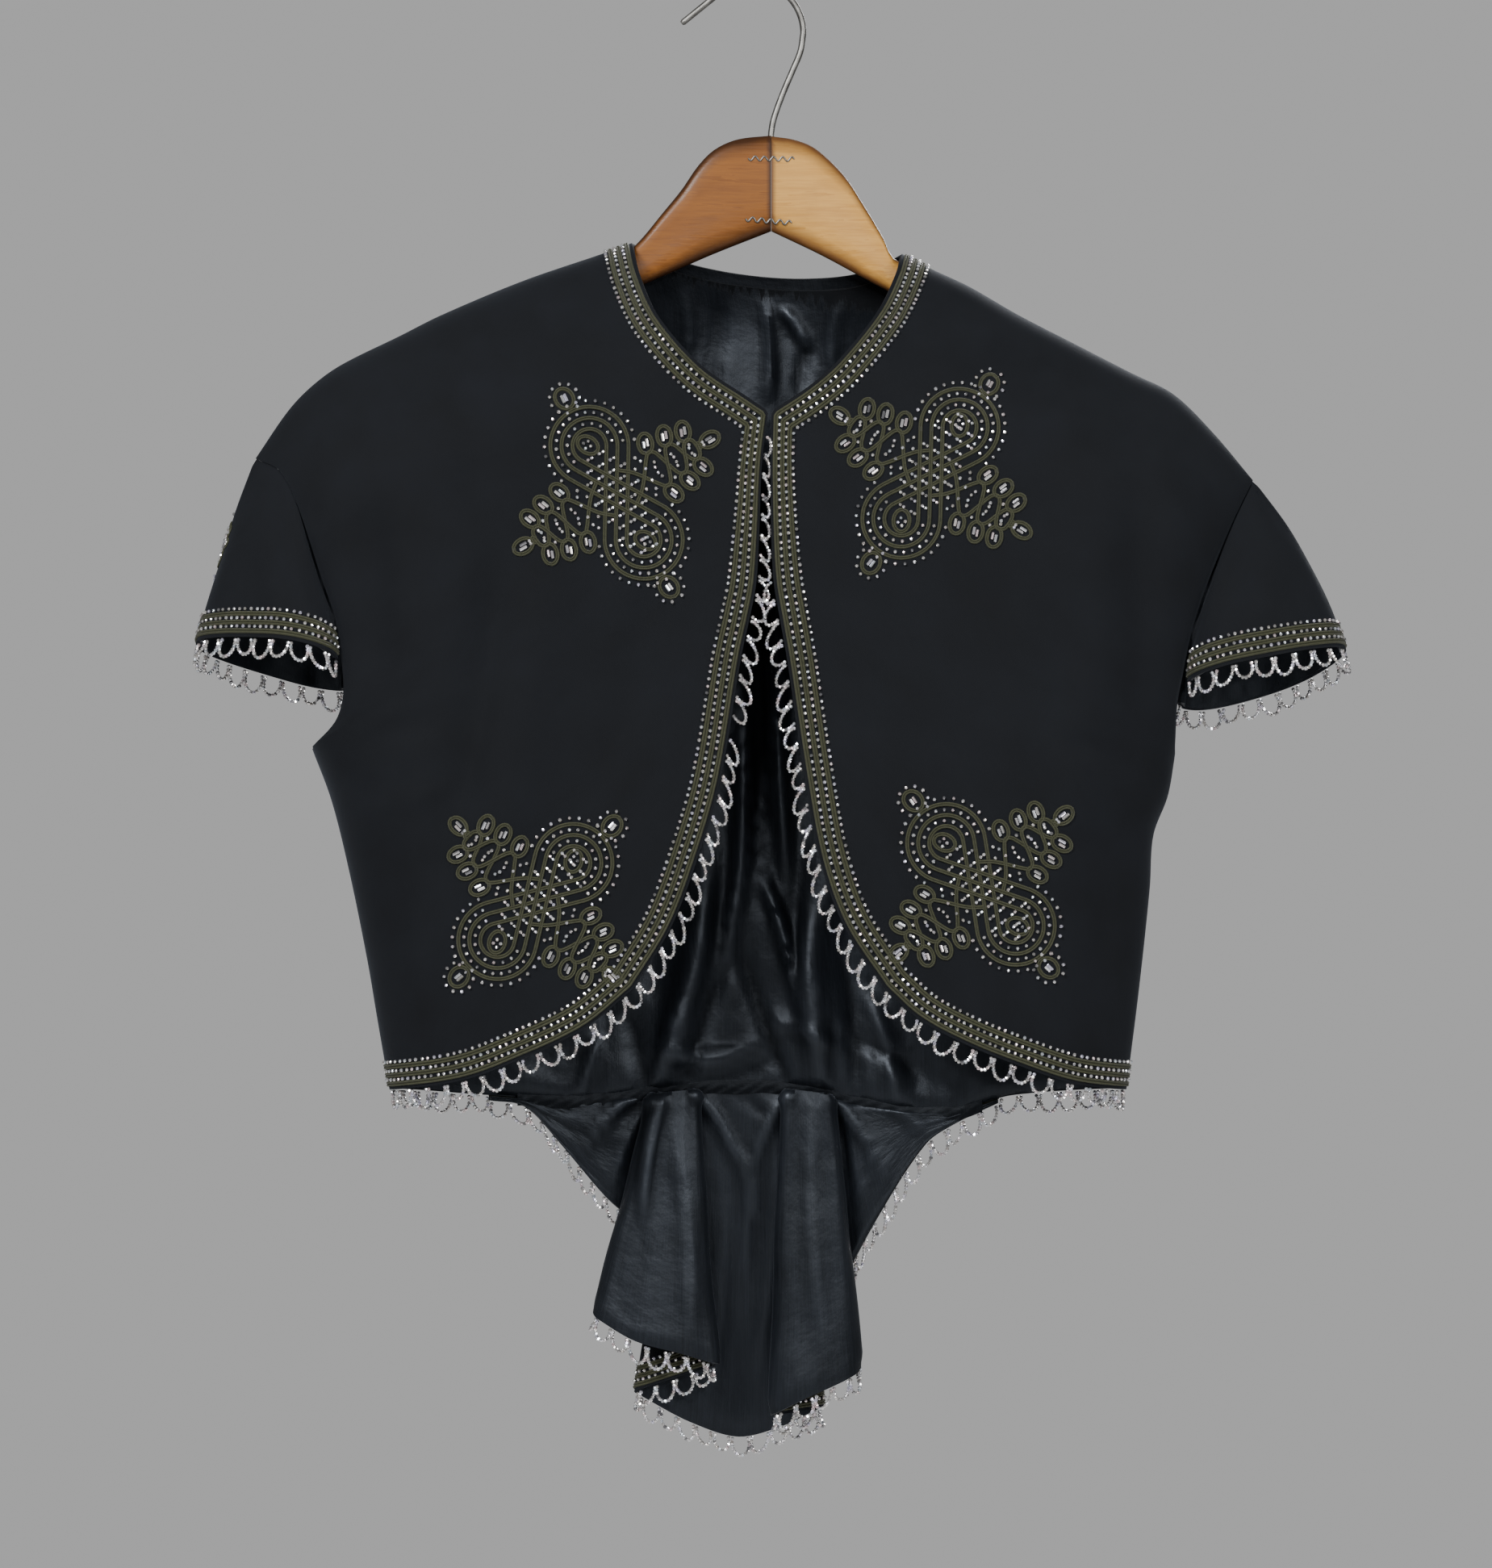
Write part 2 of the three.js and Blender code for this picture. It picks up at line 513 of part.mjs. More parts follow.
// The point of a panel's own facets at (x, z), with the normal there.
function panelPoint({ grid, normals }, x, z) {
  for (let j = 0; j < grid.length - 1; j++) {
    for (let i = 0; i < grid[0].length - 1; i++) {
      for (const corners of [[[j, i], [j + 1, i], [j + 1, i + 1]], [[j, i], [j + 1, i + 1], [j, i + 1]]]) {
        const [a, b, c] = corners.map(([r, k]) => grid[r][k]);
        const area = (b.x - a.x) * (c.z - a.z) - (c.x - a.x) * (b.z - a.z);
        const s = ((x - a.x) * (c.z - a.z) - (c.x - a.x) * (z - a.z)) / area;
        const t = ((b.x - a.x) * (z - a.z) - (x - a.x) * (b.z - a.z)) / area;
        if (s < -1e-6 || t < -1e-6 || s + t > 1 + 1e-6) continue;
        const [na, nb, nc] = corners.map(([r, k]) => normals[r][k]);
        const blend = (p, q, r) =>
          p.clone().multiplyScalar(1 - s - t).addScaledVector(q, s).addScaledVector(r, t);
        return { point: blend(a, b, c), normal: blend(na, nb, nc).normalize() };
      }
    }
  }
  const face = normals[0][0].y < 0 ? -1 : 1;
  return { point: bodyPoint(x, z, face), normal: bodyNormal(x, z, face) };
}

// ---- the tail ----
// The bodice's hem, where the tail is sewn, at x.
function waistAt(waist, x) {
  const rows = (key) => waist.map((p) => [p.x, p[key]]);
  return { y: read(rows("y"), x), z: read(rows("z"), x) };
}

const FOLD = { reach: 7, part: 2.2 }; // a turned edge's round, and how far its layers stand apart
const TAIL_RUNS = [0, 0.13, 0.35, 0.64, 1]; // rows above the band along the hem

// The tail's columns at one row, with each turned edge rounded to three points.
function tailRow(waist, rowIndex) {
  const corners = TAIL.map((c) => {
    const seam = waistAt(waist, c.waistX);
    const waistZ = seam.z - SEAM_GAP - 0.3;
    const length = Math.hypot(c.hemX - c.waistX, c.hemZ - waistZ);
    const bandShare = length > 2 * BAND ? 1 - BAND / length : 0.5;
    const v = rowIndex < TAIL_RUNS.length ? TAIL_RUNS[rowIndex] * bandShare : 1;
    const x = mix(c.waistX, c.hemX, v);
    const z = mix(waistZ, c.hemZ, v);
    const level = mix(seam.y - backY(c.waistX, seam.z), 0, v);
    const y = backY(x, Math.max(z, -700)) + level - TAIL_OUT - mix(c.waistForward, c.hemForward, v);
    return new THREE.Vector3(x, y, z);
  });
  const points = [];
  corners.forEach((p, i) => {
    if (!TAIL[i].fold) {
      points.push(p);
      return;
    }
    const [before, after] = [corners[i - 1], corners[i + 1]];
    const from = p.clone().lerp(before, Math.min(0.36, FOLD.reach / p.distanceTo(before)));
    const to = p.clone().lerp(after, Math.min(0.36, FOLD.reach / p.distanceTo(after)));
    const middle = from.clone().add(to).multiplyScalar(0.2).addScaledVector(p, 0.6);
    const part = FOLD.part * Math.sign(before.y - after.y);
    from.y += part;
    to.y -= part;
    points.push(from, middle, to);
  });
  return points;
}

function tailPanels(waist) {
  const grid = [...TAIL_RUNS, null].map((_, j) => tailRow(waist, j));
  const normals = gridNormals(grid, 1);
  const layer = (from, to) => wall(offsetGrid(grid, normals, from), offsetGrid(grid, normals, to));
  const inside = TAIL_OUT - WOOL;
  const faced = { grid: offsetGrid(grid, normals, TAIL_OUT), normals };
  const last = TAIL_RUNS.length;
  const strip = grid[0].map((_, i) => {
    const nearShort = i < 3 || i > grid[0].length - 4;
    const station = stripStation(faced, [last, i], [last - 1, i], nearShort ? 0.6 : 0.3);
    if (grid[last][i].distanceTo(grid[last - 1][i]) > 0.8 * BAND) return station;
    // Where the tail is shorter than the border is wide, the border reaches up over the back.
    const p = grid[last][i];
    station.at = (distance, lift) =>
      bodyPoint(p.x, p.z + distance, 1).addScaledVector(bodyNormal(p.x, p.z + distance, 1), lift + 1.3);
    return station;
  });
  return { wool: layer(TAIL_OUT, inside), silk: layer(inside - SEAM_GAP, inside - SEAM_GAP - SILK), strip };
}

// ---- sleeves ----
// A sleeve is a cap: it is sewn round the armhole from front to back over the shoulder's end, and is
// open beneath. Its columns run from the armhole to the hem, from the front's end to the back's.
const SLEEVE_SPREAD = [0, 0.06, 0.14, 0.24, 0.38, 0.57, 0.78, 1]; // along the hem, out to in
const SLEEVE_RUNS = [0, 0.3, 0.64, 1]; // rows above the band along the hem

function sleevePanels(side) {
  const s = SLEEVE[side];
  const shares = ROWS.slice(0, SLEEVE_SPREAD.length).map((v) => v / UNDERARM_SHARE);
  const heading = side === "left" ? -1 : 1;
  const hemPoint = (spread, face) => {
    const across = (1 - Math.cos(Math.PI * spread)) / 2;
    const puff = Math.sin(Math.PI * spread);
    const end = face < 0 ? s.frontEnd : s.backEnd;
    const endY = bodyPoint(end[0], end[1], face).y;
    return new THREE.Vector3(
      mix(s.outer[0], end[0], across),
      mix(middleY(s.outer[0]) * 0.8, endY, across) + face * s.puff * puff,
      mix(s.outer[1], end[1], across) + (face < 0 ? s.frontRise : s.backRise) * puff,
    );
  };
  // Over the shoulder's end the sleeve leaves the panels along the shoulder line.
  const [before, after] = [0.97, 1].map((t) => CURVES[side].shoulder.at(t));
  const shoulderWay = new THREE.Vector3(after[0] - before[0], 0, after[1] - before[1]).normalize();
  const column = (i, face) => {
    const [x, z] = CURVES[side].armhole.at(shares[i]);
    const point = bodyPoint(x, z, face);
    const normal = wallNormal(x, z, face);
    if (i === 0) point.y = middleY(x);
    const [ax, az] = CURVES[side].armhole.at(shares[i] + 0.02);
    const off = bodyPoint(ax, az, face).sub(point).cross(normal).normalize();
    if (off.x * heading < 0) off.negate();
    if (i < 4) off.copy(shoulderWay);
    return { point: point.addScaledVector(off, SLEEVE_GAP), normal, hem: hemPoint(SLEEVE_SPREAD[i], face) };
  };
  const count = SLEEVE_SPREAD.length - 1;
  const columns = [];
  for (let i = count; i > 0; i--) columns.push(column(i, -1));
  for (let i = 0; i <= count; i++) columns.push(column(i, 1));
  const rowAt = (rowIndex) => columns.map(({ point, hem }, i) => {
    const length = point.distanceTo(hem);
    const bandShare = Math.max(0.3, 1 - BAND / length);
    const v = rowIndex < SLEEVE_RUNS.length ? SLEEVE_RUNS[rowIndex] * bandShare : 1;
    const spread = SLEEVE_SPREAD[Math.abs(count - i)];
    const bulge = s.bulge * Math.sin(Math.PI * v) * (1 - spread ** 2);
    const face = i < count ? -1 : 1;
    const out = new THREE.Vector3(heading * Math.cos(spread * 2), face * Math.sin(spread * 2), 0.3);
    return point.clone().lerp(hem, v).addScaledVector(out.normalize(), bulge);
  });
  const grid = [...SLEEVE_RUNS, null].map((_, j) => rowAt(j));
  const normals = gridNormals(grid, side === "left" ? 1 : -1);
  normals[0] = columns.map((c) => c.normal);
  const last = SLEEVE_RUNS.length;
  const lined = (rows) => rows.slice(1).map((row) => row.slice(1, -1));
  const [points, ways] = [lined(grid), lined(normals)];
  const end = points.length - 1;
  points[end] = points[end].map((p, i) => p.clone().lerp(points[end - 1][i], 0.08));
  return {
    grid,
    normals,
    wool: wall(grid, offsetGrid(grid, normals, -WOOL)),
    silk: wall(offsetGrid(points, ways, -LINING_INSET), offsetGrid(points, ways, -LINING_INSET - SILK)),
    strip: grid[0].map((_, i, row) =>
      stripStation({ grid, normals }, [last, i], [last - 1, i], i < 2 || i > row.length - 3 ? 0.5 : 0)),
  };
}

// ---- what is sewn along the edges ----
// The strip of three braid rows: a low ridge for each, on a thin base.
function borderSolid(stations, footed = false) {
  const { braids, width, height, base } = BORDER;
  const edge = width / 2;
  const [first, second, third] = braids;
  const valleys = [(first + second) / 2, (second + third) / 2];
  const profile = [[first - edge, 0], [first, base + height], [valleys[0], base], [second, base + height],
    [valleys[1], base], [third, base + height], [third + edge, 0]];
  if (footed) profile.push([valleys[1], 0], [valleys[0], 0]);
  return sweep(stations.map((s) => profile.map(([d, h]) => s.at(d, TRIM_LIFT + h))));
}

// A solid swept through closed sections of the same count, capped by a fan unless it closes on itself.
function sweep(sections, closed = false) {
  const [m, n] = [sections.length, sections[0].length];
  const positions = sections.flat().flatMap((p) => [p.x, p.y, p.z]);
  const index = [];
  const rows = closed ? m : m - 1;
  for (let j = 0; j < rows; j++) {
    for (let i = 0; i < n; i++) {
      const [a, b] = [j * n + i, j * n + ((i + 1) % n)];
      const [c, d] = [((j + 1) % m) * n + i, ((j + 1) % m) * n + ((i + 1) % n)];
      index.push(a, c, b, b, c, d);
    }
  }
  if (!closed) {
    for (let i = 1; i < n - 1; i++) {
      index.push(0, i, i + 1);
      index.push((m - 1) * n, (m - 1) * n + i + 1, (m - 1) * n + i);
    }
  }
  return facingOut(positions, index);
}

// A string of beads hung in swags along an edge: a thin three-sided tube that dips once in each pitch.
// `most` limits the dip at a point, where another edge is near.
function swagSolid(stations, start, end, most = () => SWAG.drop) {
  const run = [0];
  for (let i = 1; i < stations.length; i++) {
    run.push(run[i - 1] + stations[i].edge.distanceTo(stations[i - 1].edge));
  }
  const length = run[run.length - 1] - start - end;
  const count = Math.round(length / SWAG.pitch);
  const nodes = [];
  for (let k = 0; k < count; k++) {
    for (const [along, down] of SWAG.path) {
      const s = start + ((k + along) / count) * length;
      let i = 0;
      while (i < run.length - 2 && s > run[i + 1]) i++;
      const t = (s - run[i]) / (run[i + 1] - run[i]);
      const [a, b] = [stations[i], stations[i + 1]];
      const point = a.edge.clone().lerp(b.edge, t);
      const out = a.out.clone().lerp(b.out, t).normalize();
      const normal = a.normal.clone().lerp(b.normal, t).normalize();
      const drop = Math.max(0, Math.min(SWAG.drop, most(point))) * down;
      point.addScaledVector(out, SWAG.gap + SWAG.radius + drop).addScaledVector(normal, -WOOL / 2);
      nodes.push({ point, normal });
    }
  }
  return sweep(nodes.map(({ point, normal }, i) => {
    const [before, after] = [nodes[Math.max(i - 1, 0)].point, nodes[Math.min(i + 1, nodes.length - 1)].point];
    const along = after.clone().sub(before).normalize();
    const across = normal.clone().cross(along).normalize();
    const face = along.clone().cross(across).normalize();
    return [0, 1, 2].map((k) => {
      const a = (2 * Math.PI * k) / 3 + Math.PI / 2;
      return point.clone().addScaledVector(across, SWAG.radius * Math.cos(a))
        .addScaledVector(face, SWAG.radius * Math.sin(a));
    });
  }));
}

// Half the distance between the two fronts, less what the strings need between them.
function openingRoom(point) {
  const [l, r] = [CURVES.left.opening.points, CURVES.right.opening.points];
  if (point.z < -520) return SWAG.drop;
  const half = (read(r, point.z, 1) - read(l, point.z, 1)) / 2;
  return half - SWAG.gap - 2 * SWAG.radius - 0.5;
}

// ---- knot ornaments ----
// A belt crossed between two round eyes, as points in the knot's own plane.
function crossedBelt() {
  const { eyeHalf: half, eyeRadius: radius, arcSteps, lineSteps } = KNOT;
  const lean = Math.acos(radius / half);
  const arc = (centre, from, to) => Array.from({ length: arcSteps + 1 }, (_, i) => {
    const a = mix(from, to, i / arcSteps);
    return [centre + radius * Math.cos(a), radius * Math.sin(a)];
  });
  const line = (from, to) => Array.from({ length: lineSteps - 1 }, (_, i) =>
    [0, 1].map((k) => mix(from[k], to[k], (i + 1) / lineSteps)));
  const upper = arc(half, Math.PI - lean, -(Math.PI - lean));
  const lower = arc(-half, lean, 2 * Math.PI - lean);
  return [...upper, ...line(upper.at(-1), lower[0]), ...lower, ...line(lower.at(-1), upper[0])];
}

// The leaf-shaped end of a knot: a lobed outline round its petals.
function leafOutline(sign) {
  const { petals, petalReach: reach, leafTip } = KNOT;
  const lobe = ([along, out, lean]) => [-0.85, 0, 0.85].map((turn) => {
    const a = lean + turn * 1.5;
    return [along + reach * Math.cos(a), out + reach * Math.sin(a)];
  }).reverse();
  const upper = petals.flatMap(lobe);
  const lower = [...upper].reverse().map(([a, b]) => [a, -b]);
  return [[4, 3], ...upper, [leafTip, 0], ...lower, [4, -3]].map(([a, b]) => [-b * sign, a * sign]);
}

const wasm = await Module();
wasm.setup();

function solid(geometry) {
  const bare = geometry.clone();
  bare.deleteAttribute("normal");
  bare.deleteAttribute("uv");
  const merged = mergeVertices(bare, 1e-4);
  return new wasm.Manifold(new wasm.Mesh({
    numProp: 3,
    vertProperties: new Float32Array(merged.attributes.position.array),
    triVerts: new Uint32Array(merged.index.array),
  }));
}

function geometryOf(manifold) {
  const mesh = manifold.getMesh();
  const geometry = new THREE.BufferGeometry();
  geometry.setAttribute("position", new THREE.BufferAttribute(mesh.vertProperties, 3));
  geometry.setIndex(new THREE.BufferAttribute(mesh.triVerts, 1));
  return geometry;
}

// The knot's braids as one flat solid, then laid on the cloth by `place`.
function knotSolid(place, scale) {
  const loops = [crossedBelt(), leafOutline(1), leafOutline(-1)];
  const shape = loops.map((loop) => strokePath(loop, scale)).reduce((a, b) => a.add(b)).simplify(0.25);
  const laid = shape.extrude(KNOT.height).warp((v) => {
    const p = place(v[0], v[1], KNOT.lift + v[2]);
    [v[0], v[1], v[2]] = [p.x, p.y, p.z];
  });
  const geometry = geometryOf(laid);
  return facingOut([...geometry.attributes.position.array], [...geometry.index.array]);
}

// A closed path drawn as a band of the braid's width. The path may cross itself.
function strokePath(path, scale) {
  const half = KNOT.half * scale;
  const lap = 0.35 * half;
  const pieces = path.map((p, i) => {
    const q = path[(i + 1) % path.length];
    const size = Math.hypot(q[0] - p[0], q[1] - p[1]);
    const way = [(q[0] - p[0]) / size, (q[1] - p[1]) / size];
    const corner = (end, along, side) =>
      [end[0] * scale + way[0] * along - way[1] * side, end[1] * scale + way[1] * along + way[0] * side];
    const [start, end] = [[p, -lap], [q, lap]];
    const outline = [corner(...start, -half), corner(...end, -half), corner(...end, half), corner(...start, half)];
    return new wasm.CrossSection([outline], "NonZero");
  });
  return pieces.reduce((a, b) => a.add(b));
}

function frontKnot(panel, { x, z, turn }) {
  const a = (turn * Math.PI) / 180;
  return knotSolid((p, q, lift) => {
    const [px, pz] = [x + p * Math.cos(a) - q * Math.sin(a), z + p * Math.sin(a) + q * Math.cos(a)];
    const { point, normal } = panelPoint(panel, px, pz);
    return point.addScaledVector(normal, lift);
  }, 1);
}

// A knot on a sleeve, laid over the sleeve's own facets round its middle.
function sleeveKnot({ grid, normals }) {
  const { scale, row, column, perRow, perColumn } = SLEEVE_KNOT;
  return knotSolid((p, q, lift) => {
    const r = clamp(row - p / perRow, 0, grid.length - 1.001);
    const c = clamp(column + q / perColumn, 0, grid[0].length - 1.001);
    const [j, i] = [Math.floor(r), Math.floor(c)];
    const [t, u] = [r - j, c - i];
    const beside = t > u ? [j + 1, i] : [j, i + 1];
    const blend = (g) => g[j][i].clone().multiplyScalar(1 - Math.max(t, u))
      .addScaledVector(g[beside[0]][beside[1]], Math.abs(t - u))
      .addScaledVector(g[j + 1][i + 1], Math.min(t, u));
    return blend(grid).addScaledVector(blend(normals).normalize(), lift);
  }, scale);
}

// ---- the hanger ----
const HANGER_EDGES = {
  left: {
    top: [[11, -86], [-4, -88], [-15, -93], [-28, -107], [-42, -125], [-55, -140], [-61, -148], [-68, -151.5]],
    bottom: [[11, -140], [-24, -154], [-60, -170], [-130, -199], [-186, -220]],
    tip: -204,
  },
  right: {
    top: [[11, -86], [24, -88], [36, -93], [52, -108], [62, -123], [75, -145], [79, -154.5], [85, -158.5]],
    bottom: [[11, -140], [40, -154], [75, -173], [150, -211], [206, -239]],
    tip: 226,
  },
};

function hangerArm(side, ridges) {
  const arm = HANGER_EDGES[side];
  const top = curve(arm.top);
  const bottom = curve(arm.bottom);
  const neck = arm.top.at(-1)[0];
  const toward = Math.sign(arm.tip);
  const topZ = (x) => {
    if (Math.abs(x) <= Math.abs(neck) || Math.sign(x) !== toward) return read(top.points, x);
    const slope = (shoulderZ(x + 1) - shoulderZ(x - 1)) / 2;
    const crest = Math.min(...ridges.map((ridge) => read(ridge.map((p) => [p.x, p.z]), x)));
    return crest - HANGER.clearance * Math.hypot(1, slope);
  };
  const start = CENTRE_X + (toward * SEAM_GAP) / 2;
  const inNeck = [0, 0.15, 0.3, 0.45, 0.6, 0.75, 0.9].map((t) => mix(start, neck, t));
  const underCloth = [0, 0.08, 0.2, 0.36, 0.54, 0.72, 0.86, 0.95, 1].map((t) => mix(neck, arm.tip, t));
  const sections = [...inNeck, ...underCloth].map((x) => {
    const round = quarter(Math.abs(arm.tip - x) / 13 + 0.12);
    const [hi, lo] = [topZ(x), read(bottom.points, x)];
    const middle = mix(hi, lo, 0.5);
    const half = ((hi - lo) / 2) * round;
    const { halfThickness: h, bevel: b } = HANGER;
    const centreZ = round < 1 ? hi - 1 - half : middle;
    return [[-h, -half + b], [-h, half - b - 0.6], [-h + b, half - 0.9], [0, half], [h - b, half - 0.9],
      [h, half - b - 0.6], [h, -half + b], [h - b, -half], [-h + b, -half]]
      .map(([y, z]) => new THREE.Vector3(x, middleY(x) + y, centreZ + z));
  });
  const bore = WIRE_RADIUS + SEAM_GAP;
  const groove = new THREE.CylinderGeometry(bore, bore, 2 * HOOK.stemDepth, 12);
  groove.rotateX(Math.PI / 2);
  groove.translate(CENTRE_X, 0, HANGER_EDGES.left.top[0][1]);
  return geometryOf(solid(sweep(sections)).subtract(solid(groove)));
}

function hookWire() {
  const { radius, centreZ, tipAngle, tipLength, stemDepth } = HOOK;
  const end = (tipAngle * Math.PI) / 180;
  const ring = (a) => new THREE.Vector3(radius * Math.cos(a), 0, centreZ + radius * Math.sin(a));
  const path = [[CENTRE_X, -86 - stemDepth + 1], [CENTRE_X, -90], [CENTRE_X, -84], [12.5, -76], [17.5, -62],
    [23, -49], [27.5, -38]].map(([x, z]) => new THREE.Vector3(x, 0, z));
  for (let i = 0; i <= 12; i++) path.push(ring((end * i) / 12));
  const tip = ring(end);
  path.push(tip.clone().add(new THREE.Vector3(-Math.sin(end), 0, Math.cos(end)).multiplyScalar(tipLength)));
  const sections = path.map((p, i) => {
    const way = path[Math.min(i + 1, path.length - 1)].clone().sub(path[Math.max(i - 1, 0)]).normalize();
    const across = new THREE.Vector3(0, 1, 0);
    const face = way.clone().cross(across);
    return Array.from({ length: 8 }, (_, k) => {
      const a = (2 * Math.PI * (k + 0.5)) / 8;
      const r = WIRE_RADIUS / Math.cos(Math.PI / 8);
      return p.clone().addScaledVector(across, r * Math.cos(a)).addScaledVector(face, r * Math.sin(a));
    });
  });
  return sweep(sections);
}

// ---- assembly ----
const MATERIALS = {
  wool: new THREE.MeshStandardMaterial({ color: 0x15171b, roughness: 0.92, metalness: 0 }),
  silk: new THREE.MeshStandardMaterial({ color: 0x1c2026, roughness: 0.42, metalness: 0 }),
  braid: new THREE.MeshStandardMaterial({ color: 0x3d3d2b, roughness: 0.8, metalness: 0 }),
  bead: new THREE.MeshStandardMaterial({ color: 0xc9c6c4, roughness: 0.2, metalness: 0.6 }),
  woodLeft: new THREE.MeshStandardMaterial({ color: 0x965f2d, roughness: 0.4, metalness: 0 }),
  woodRight: new THREE.MeshStandardMaterial({ color: 0xcd9b5f, roughness: 0.4, metalness: 0 }),
  steel: new THREE.MeshStandardMaterial({ color: 0x8d8c88, roughness: 0.35, metalness: 1 }),
};

const shrug = new THREE.Group();
function add(name, geometry, material) {
  const mesh = new THREE.Mesh(geometry, MATERIALS[material].clone());
  mesh.name = name;
  shrug.add(mesh);
}

const fronts = {};
for (const side of ["left", "right"]) {
  const front = frontPanel(side);
  const sleeve = sleevePanels(side);
  const opening = front.strip.slice(ROWS.indexOf(NECK_SHARE));
  fronts[side] = front;
  add(`front_${side}`, front.geometry, "wool");
  add(`border_front_${side}`, borderSolid(front.strip), "braid");
  add(`swags_front_${side}`, swagSolid(opening, 16, 2, openingRoom), "bead");
  add(`sleeve_${side}`, sleeve.wool, "wool");
  add(`lining_sleeve_${side}`, sleeve.silk, "silk");
  add(`border_sleeve_${side}`, borderSolid([...sleeve.strip].reverse()), "braid");
  add(`swags_sleeve_${side}`, swagSolid(sleeve.strip, 2, 2), "bead");
  add(`knot_sleeve_${side}`, sleeveKnot(sleeve), "braid");
  }
for (const knot of KNOTS_FRONT) add(knot.name, frontKnot(fronts[knot.side], knot), "braid");
const back = backPanel();
for (const side of ["left", "right"]) {
  const arm = hangerArm(side, [fronts[side].grid[0], back.grid[0]]);
  add(`hanger_arm_${side}`, arm, side === "left" ? "woodLeft" : "woodRight");
}
const tail = tailPanels(back.waist);
add("back", back.geometry, "wool");
add("lining_back", backLining(back), "silk");
add("tail", tail.wool, "wool");
add("lining_tail", tail.silk, "silk");
add("border_back_neck", borderSolid(back.neck, true), "braid");
add("border_hem_left", borderSolid([...back.hemLeft].reverse()), "braid");
add("border_hem_right", borderSolid([...back.hemRight].reverse()), "braid");
add("border_tail", borderSolid(tail.strip), "braid");
const hemRuns = {
  side_left: [...back.hemLeft, ...tail.strip.slice(0, 4)],
  lobe_left: tail.strip.slice(7, 13),
  centre: tail.strip.slice(16, 21),
  lobe_right: tail.strip.slice(24, 30),
  side_right: [...tail.strip.slice(33), ...back.hemRight],
};
for (const [name, run] of Object.entries(hemRuns)) add(`swags_tail_${name}`, swagSolid(run, 3, 3), "bead");
add("hanger_hook", hookWire(), "steel");

export default shrug;
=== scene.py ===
"""A cropped shrug of black wool on a wooden clothes hanger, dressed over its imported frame.

Sizes are in millimetres, with +Z up and the front towards -Y, and become metres in the meshes.
"left" and "right" are as seen from the front: left is towards -X.
"""

import logging
import math
from collections.abc import Callable, Sequence
from dataclasses import dataclass, field
from enum import Enum

import bpy
import numpy as np
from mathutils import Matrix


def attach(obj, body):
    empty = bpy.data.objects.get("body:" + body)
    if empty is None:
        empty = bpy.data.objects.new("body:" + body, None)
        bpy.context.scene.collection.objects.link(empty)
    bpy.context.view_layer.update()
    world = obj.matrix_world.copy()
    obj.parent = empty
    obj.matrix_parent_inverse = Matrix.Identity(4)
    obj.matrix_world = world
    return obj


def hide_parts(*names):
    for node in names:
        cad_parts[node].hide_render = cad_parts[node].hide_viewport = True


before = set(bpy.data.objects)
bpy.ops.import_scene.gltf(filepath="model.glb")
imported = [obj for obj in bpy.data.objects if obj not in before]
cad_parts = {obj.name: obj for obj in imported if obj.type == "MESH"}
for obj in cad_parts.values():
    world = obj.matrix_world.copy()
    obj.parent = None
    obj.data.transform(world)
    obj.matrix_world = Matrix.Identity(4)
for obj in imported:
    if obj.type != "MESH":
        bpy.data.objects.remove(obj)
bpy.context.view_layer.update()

Array = np.ndarray
Rows = Sequence[Sequence[float]]
Pair = tuple[float, float]
Colour = Point = tuple[float, float, float]
Material = bpy.types.Material
NodeTree = bpy.types.NodeTree
Socket = bpy.types.NodeSocket
Sockets = dict[str, Socket]
Inputs = dict[str | int, object]
log = logging.getLogger("shrug")

MM = 0.001
SEAM_GAP = 0.3
WOOL = 1.6
SILK = 0.7
LINING_INSET = WOOL + 0.25
FRONT_DEPTH = 62.0
BACK_DEPTH = 48.0
SHOULDER_REACH = 95.0
ROLL_DROP = 12.0
ROLL_SHARE = 0.22
SIDE_REACH = 110.0
NECK_RISE = 45.0
CENTRE_X = 11.0
SWEEP_FORWARD = 24.0
SWEEP_SPAN = 220.0
SWEEP_POWER = 1.6
NECK_SHARE = 0.27
UNDERARM_SHARE = 0.47
BACK_NECK_SHARE = 0.38
SEAM_KEEP = 0.4
SHOULDER_KEEP = 0.3
SQUEEZE = 0.21
SQUEEZE_FROM = -350.0
SQUEEZE_SPAN = 80.0
LINING_CREASE_SCALE = 1.9
TAIL_CREASE_SCALE = 1.35
FLAT_TINT = 0.5
# The turned-in strip's tint: painted shade that darkens its silk along the waist seam.
TURN_IN_PAINTED_SHADE = 0.12
BORDER_STEP = 1.2


class Side(Enum):
    """A side of the shrug as seen from the front, with the way it lies from the middle."""

    LEFT = -1
    RIGHT = 1

    @property
    def word(self) -> str:
        """The side's word in the names of pieces."""
        return self.name.lower()


class Face(Enum):
    """The front or the back of the body, with the way its cloth faces along Y."""

    FRONT = -1
    BACK = 1


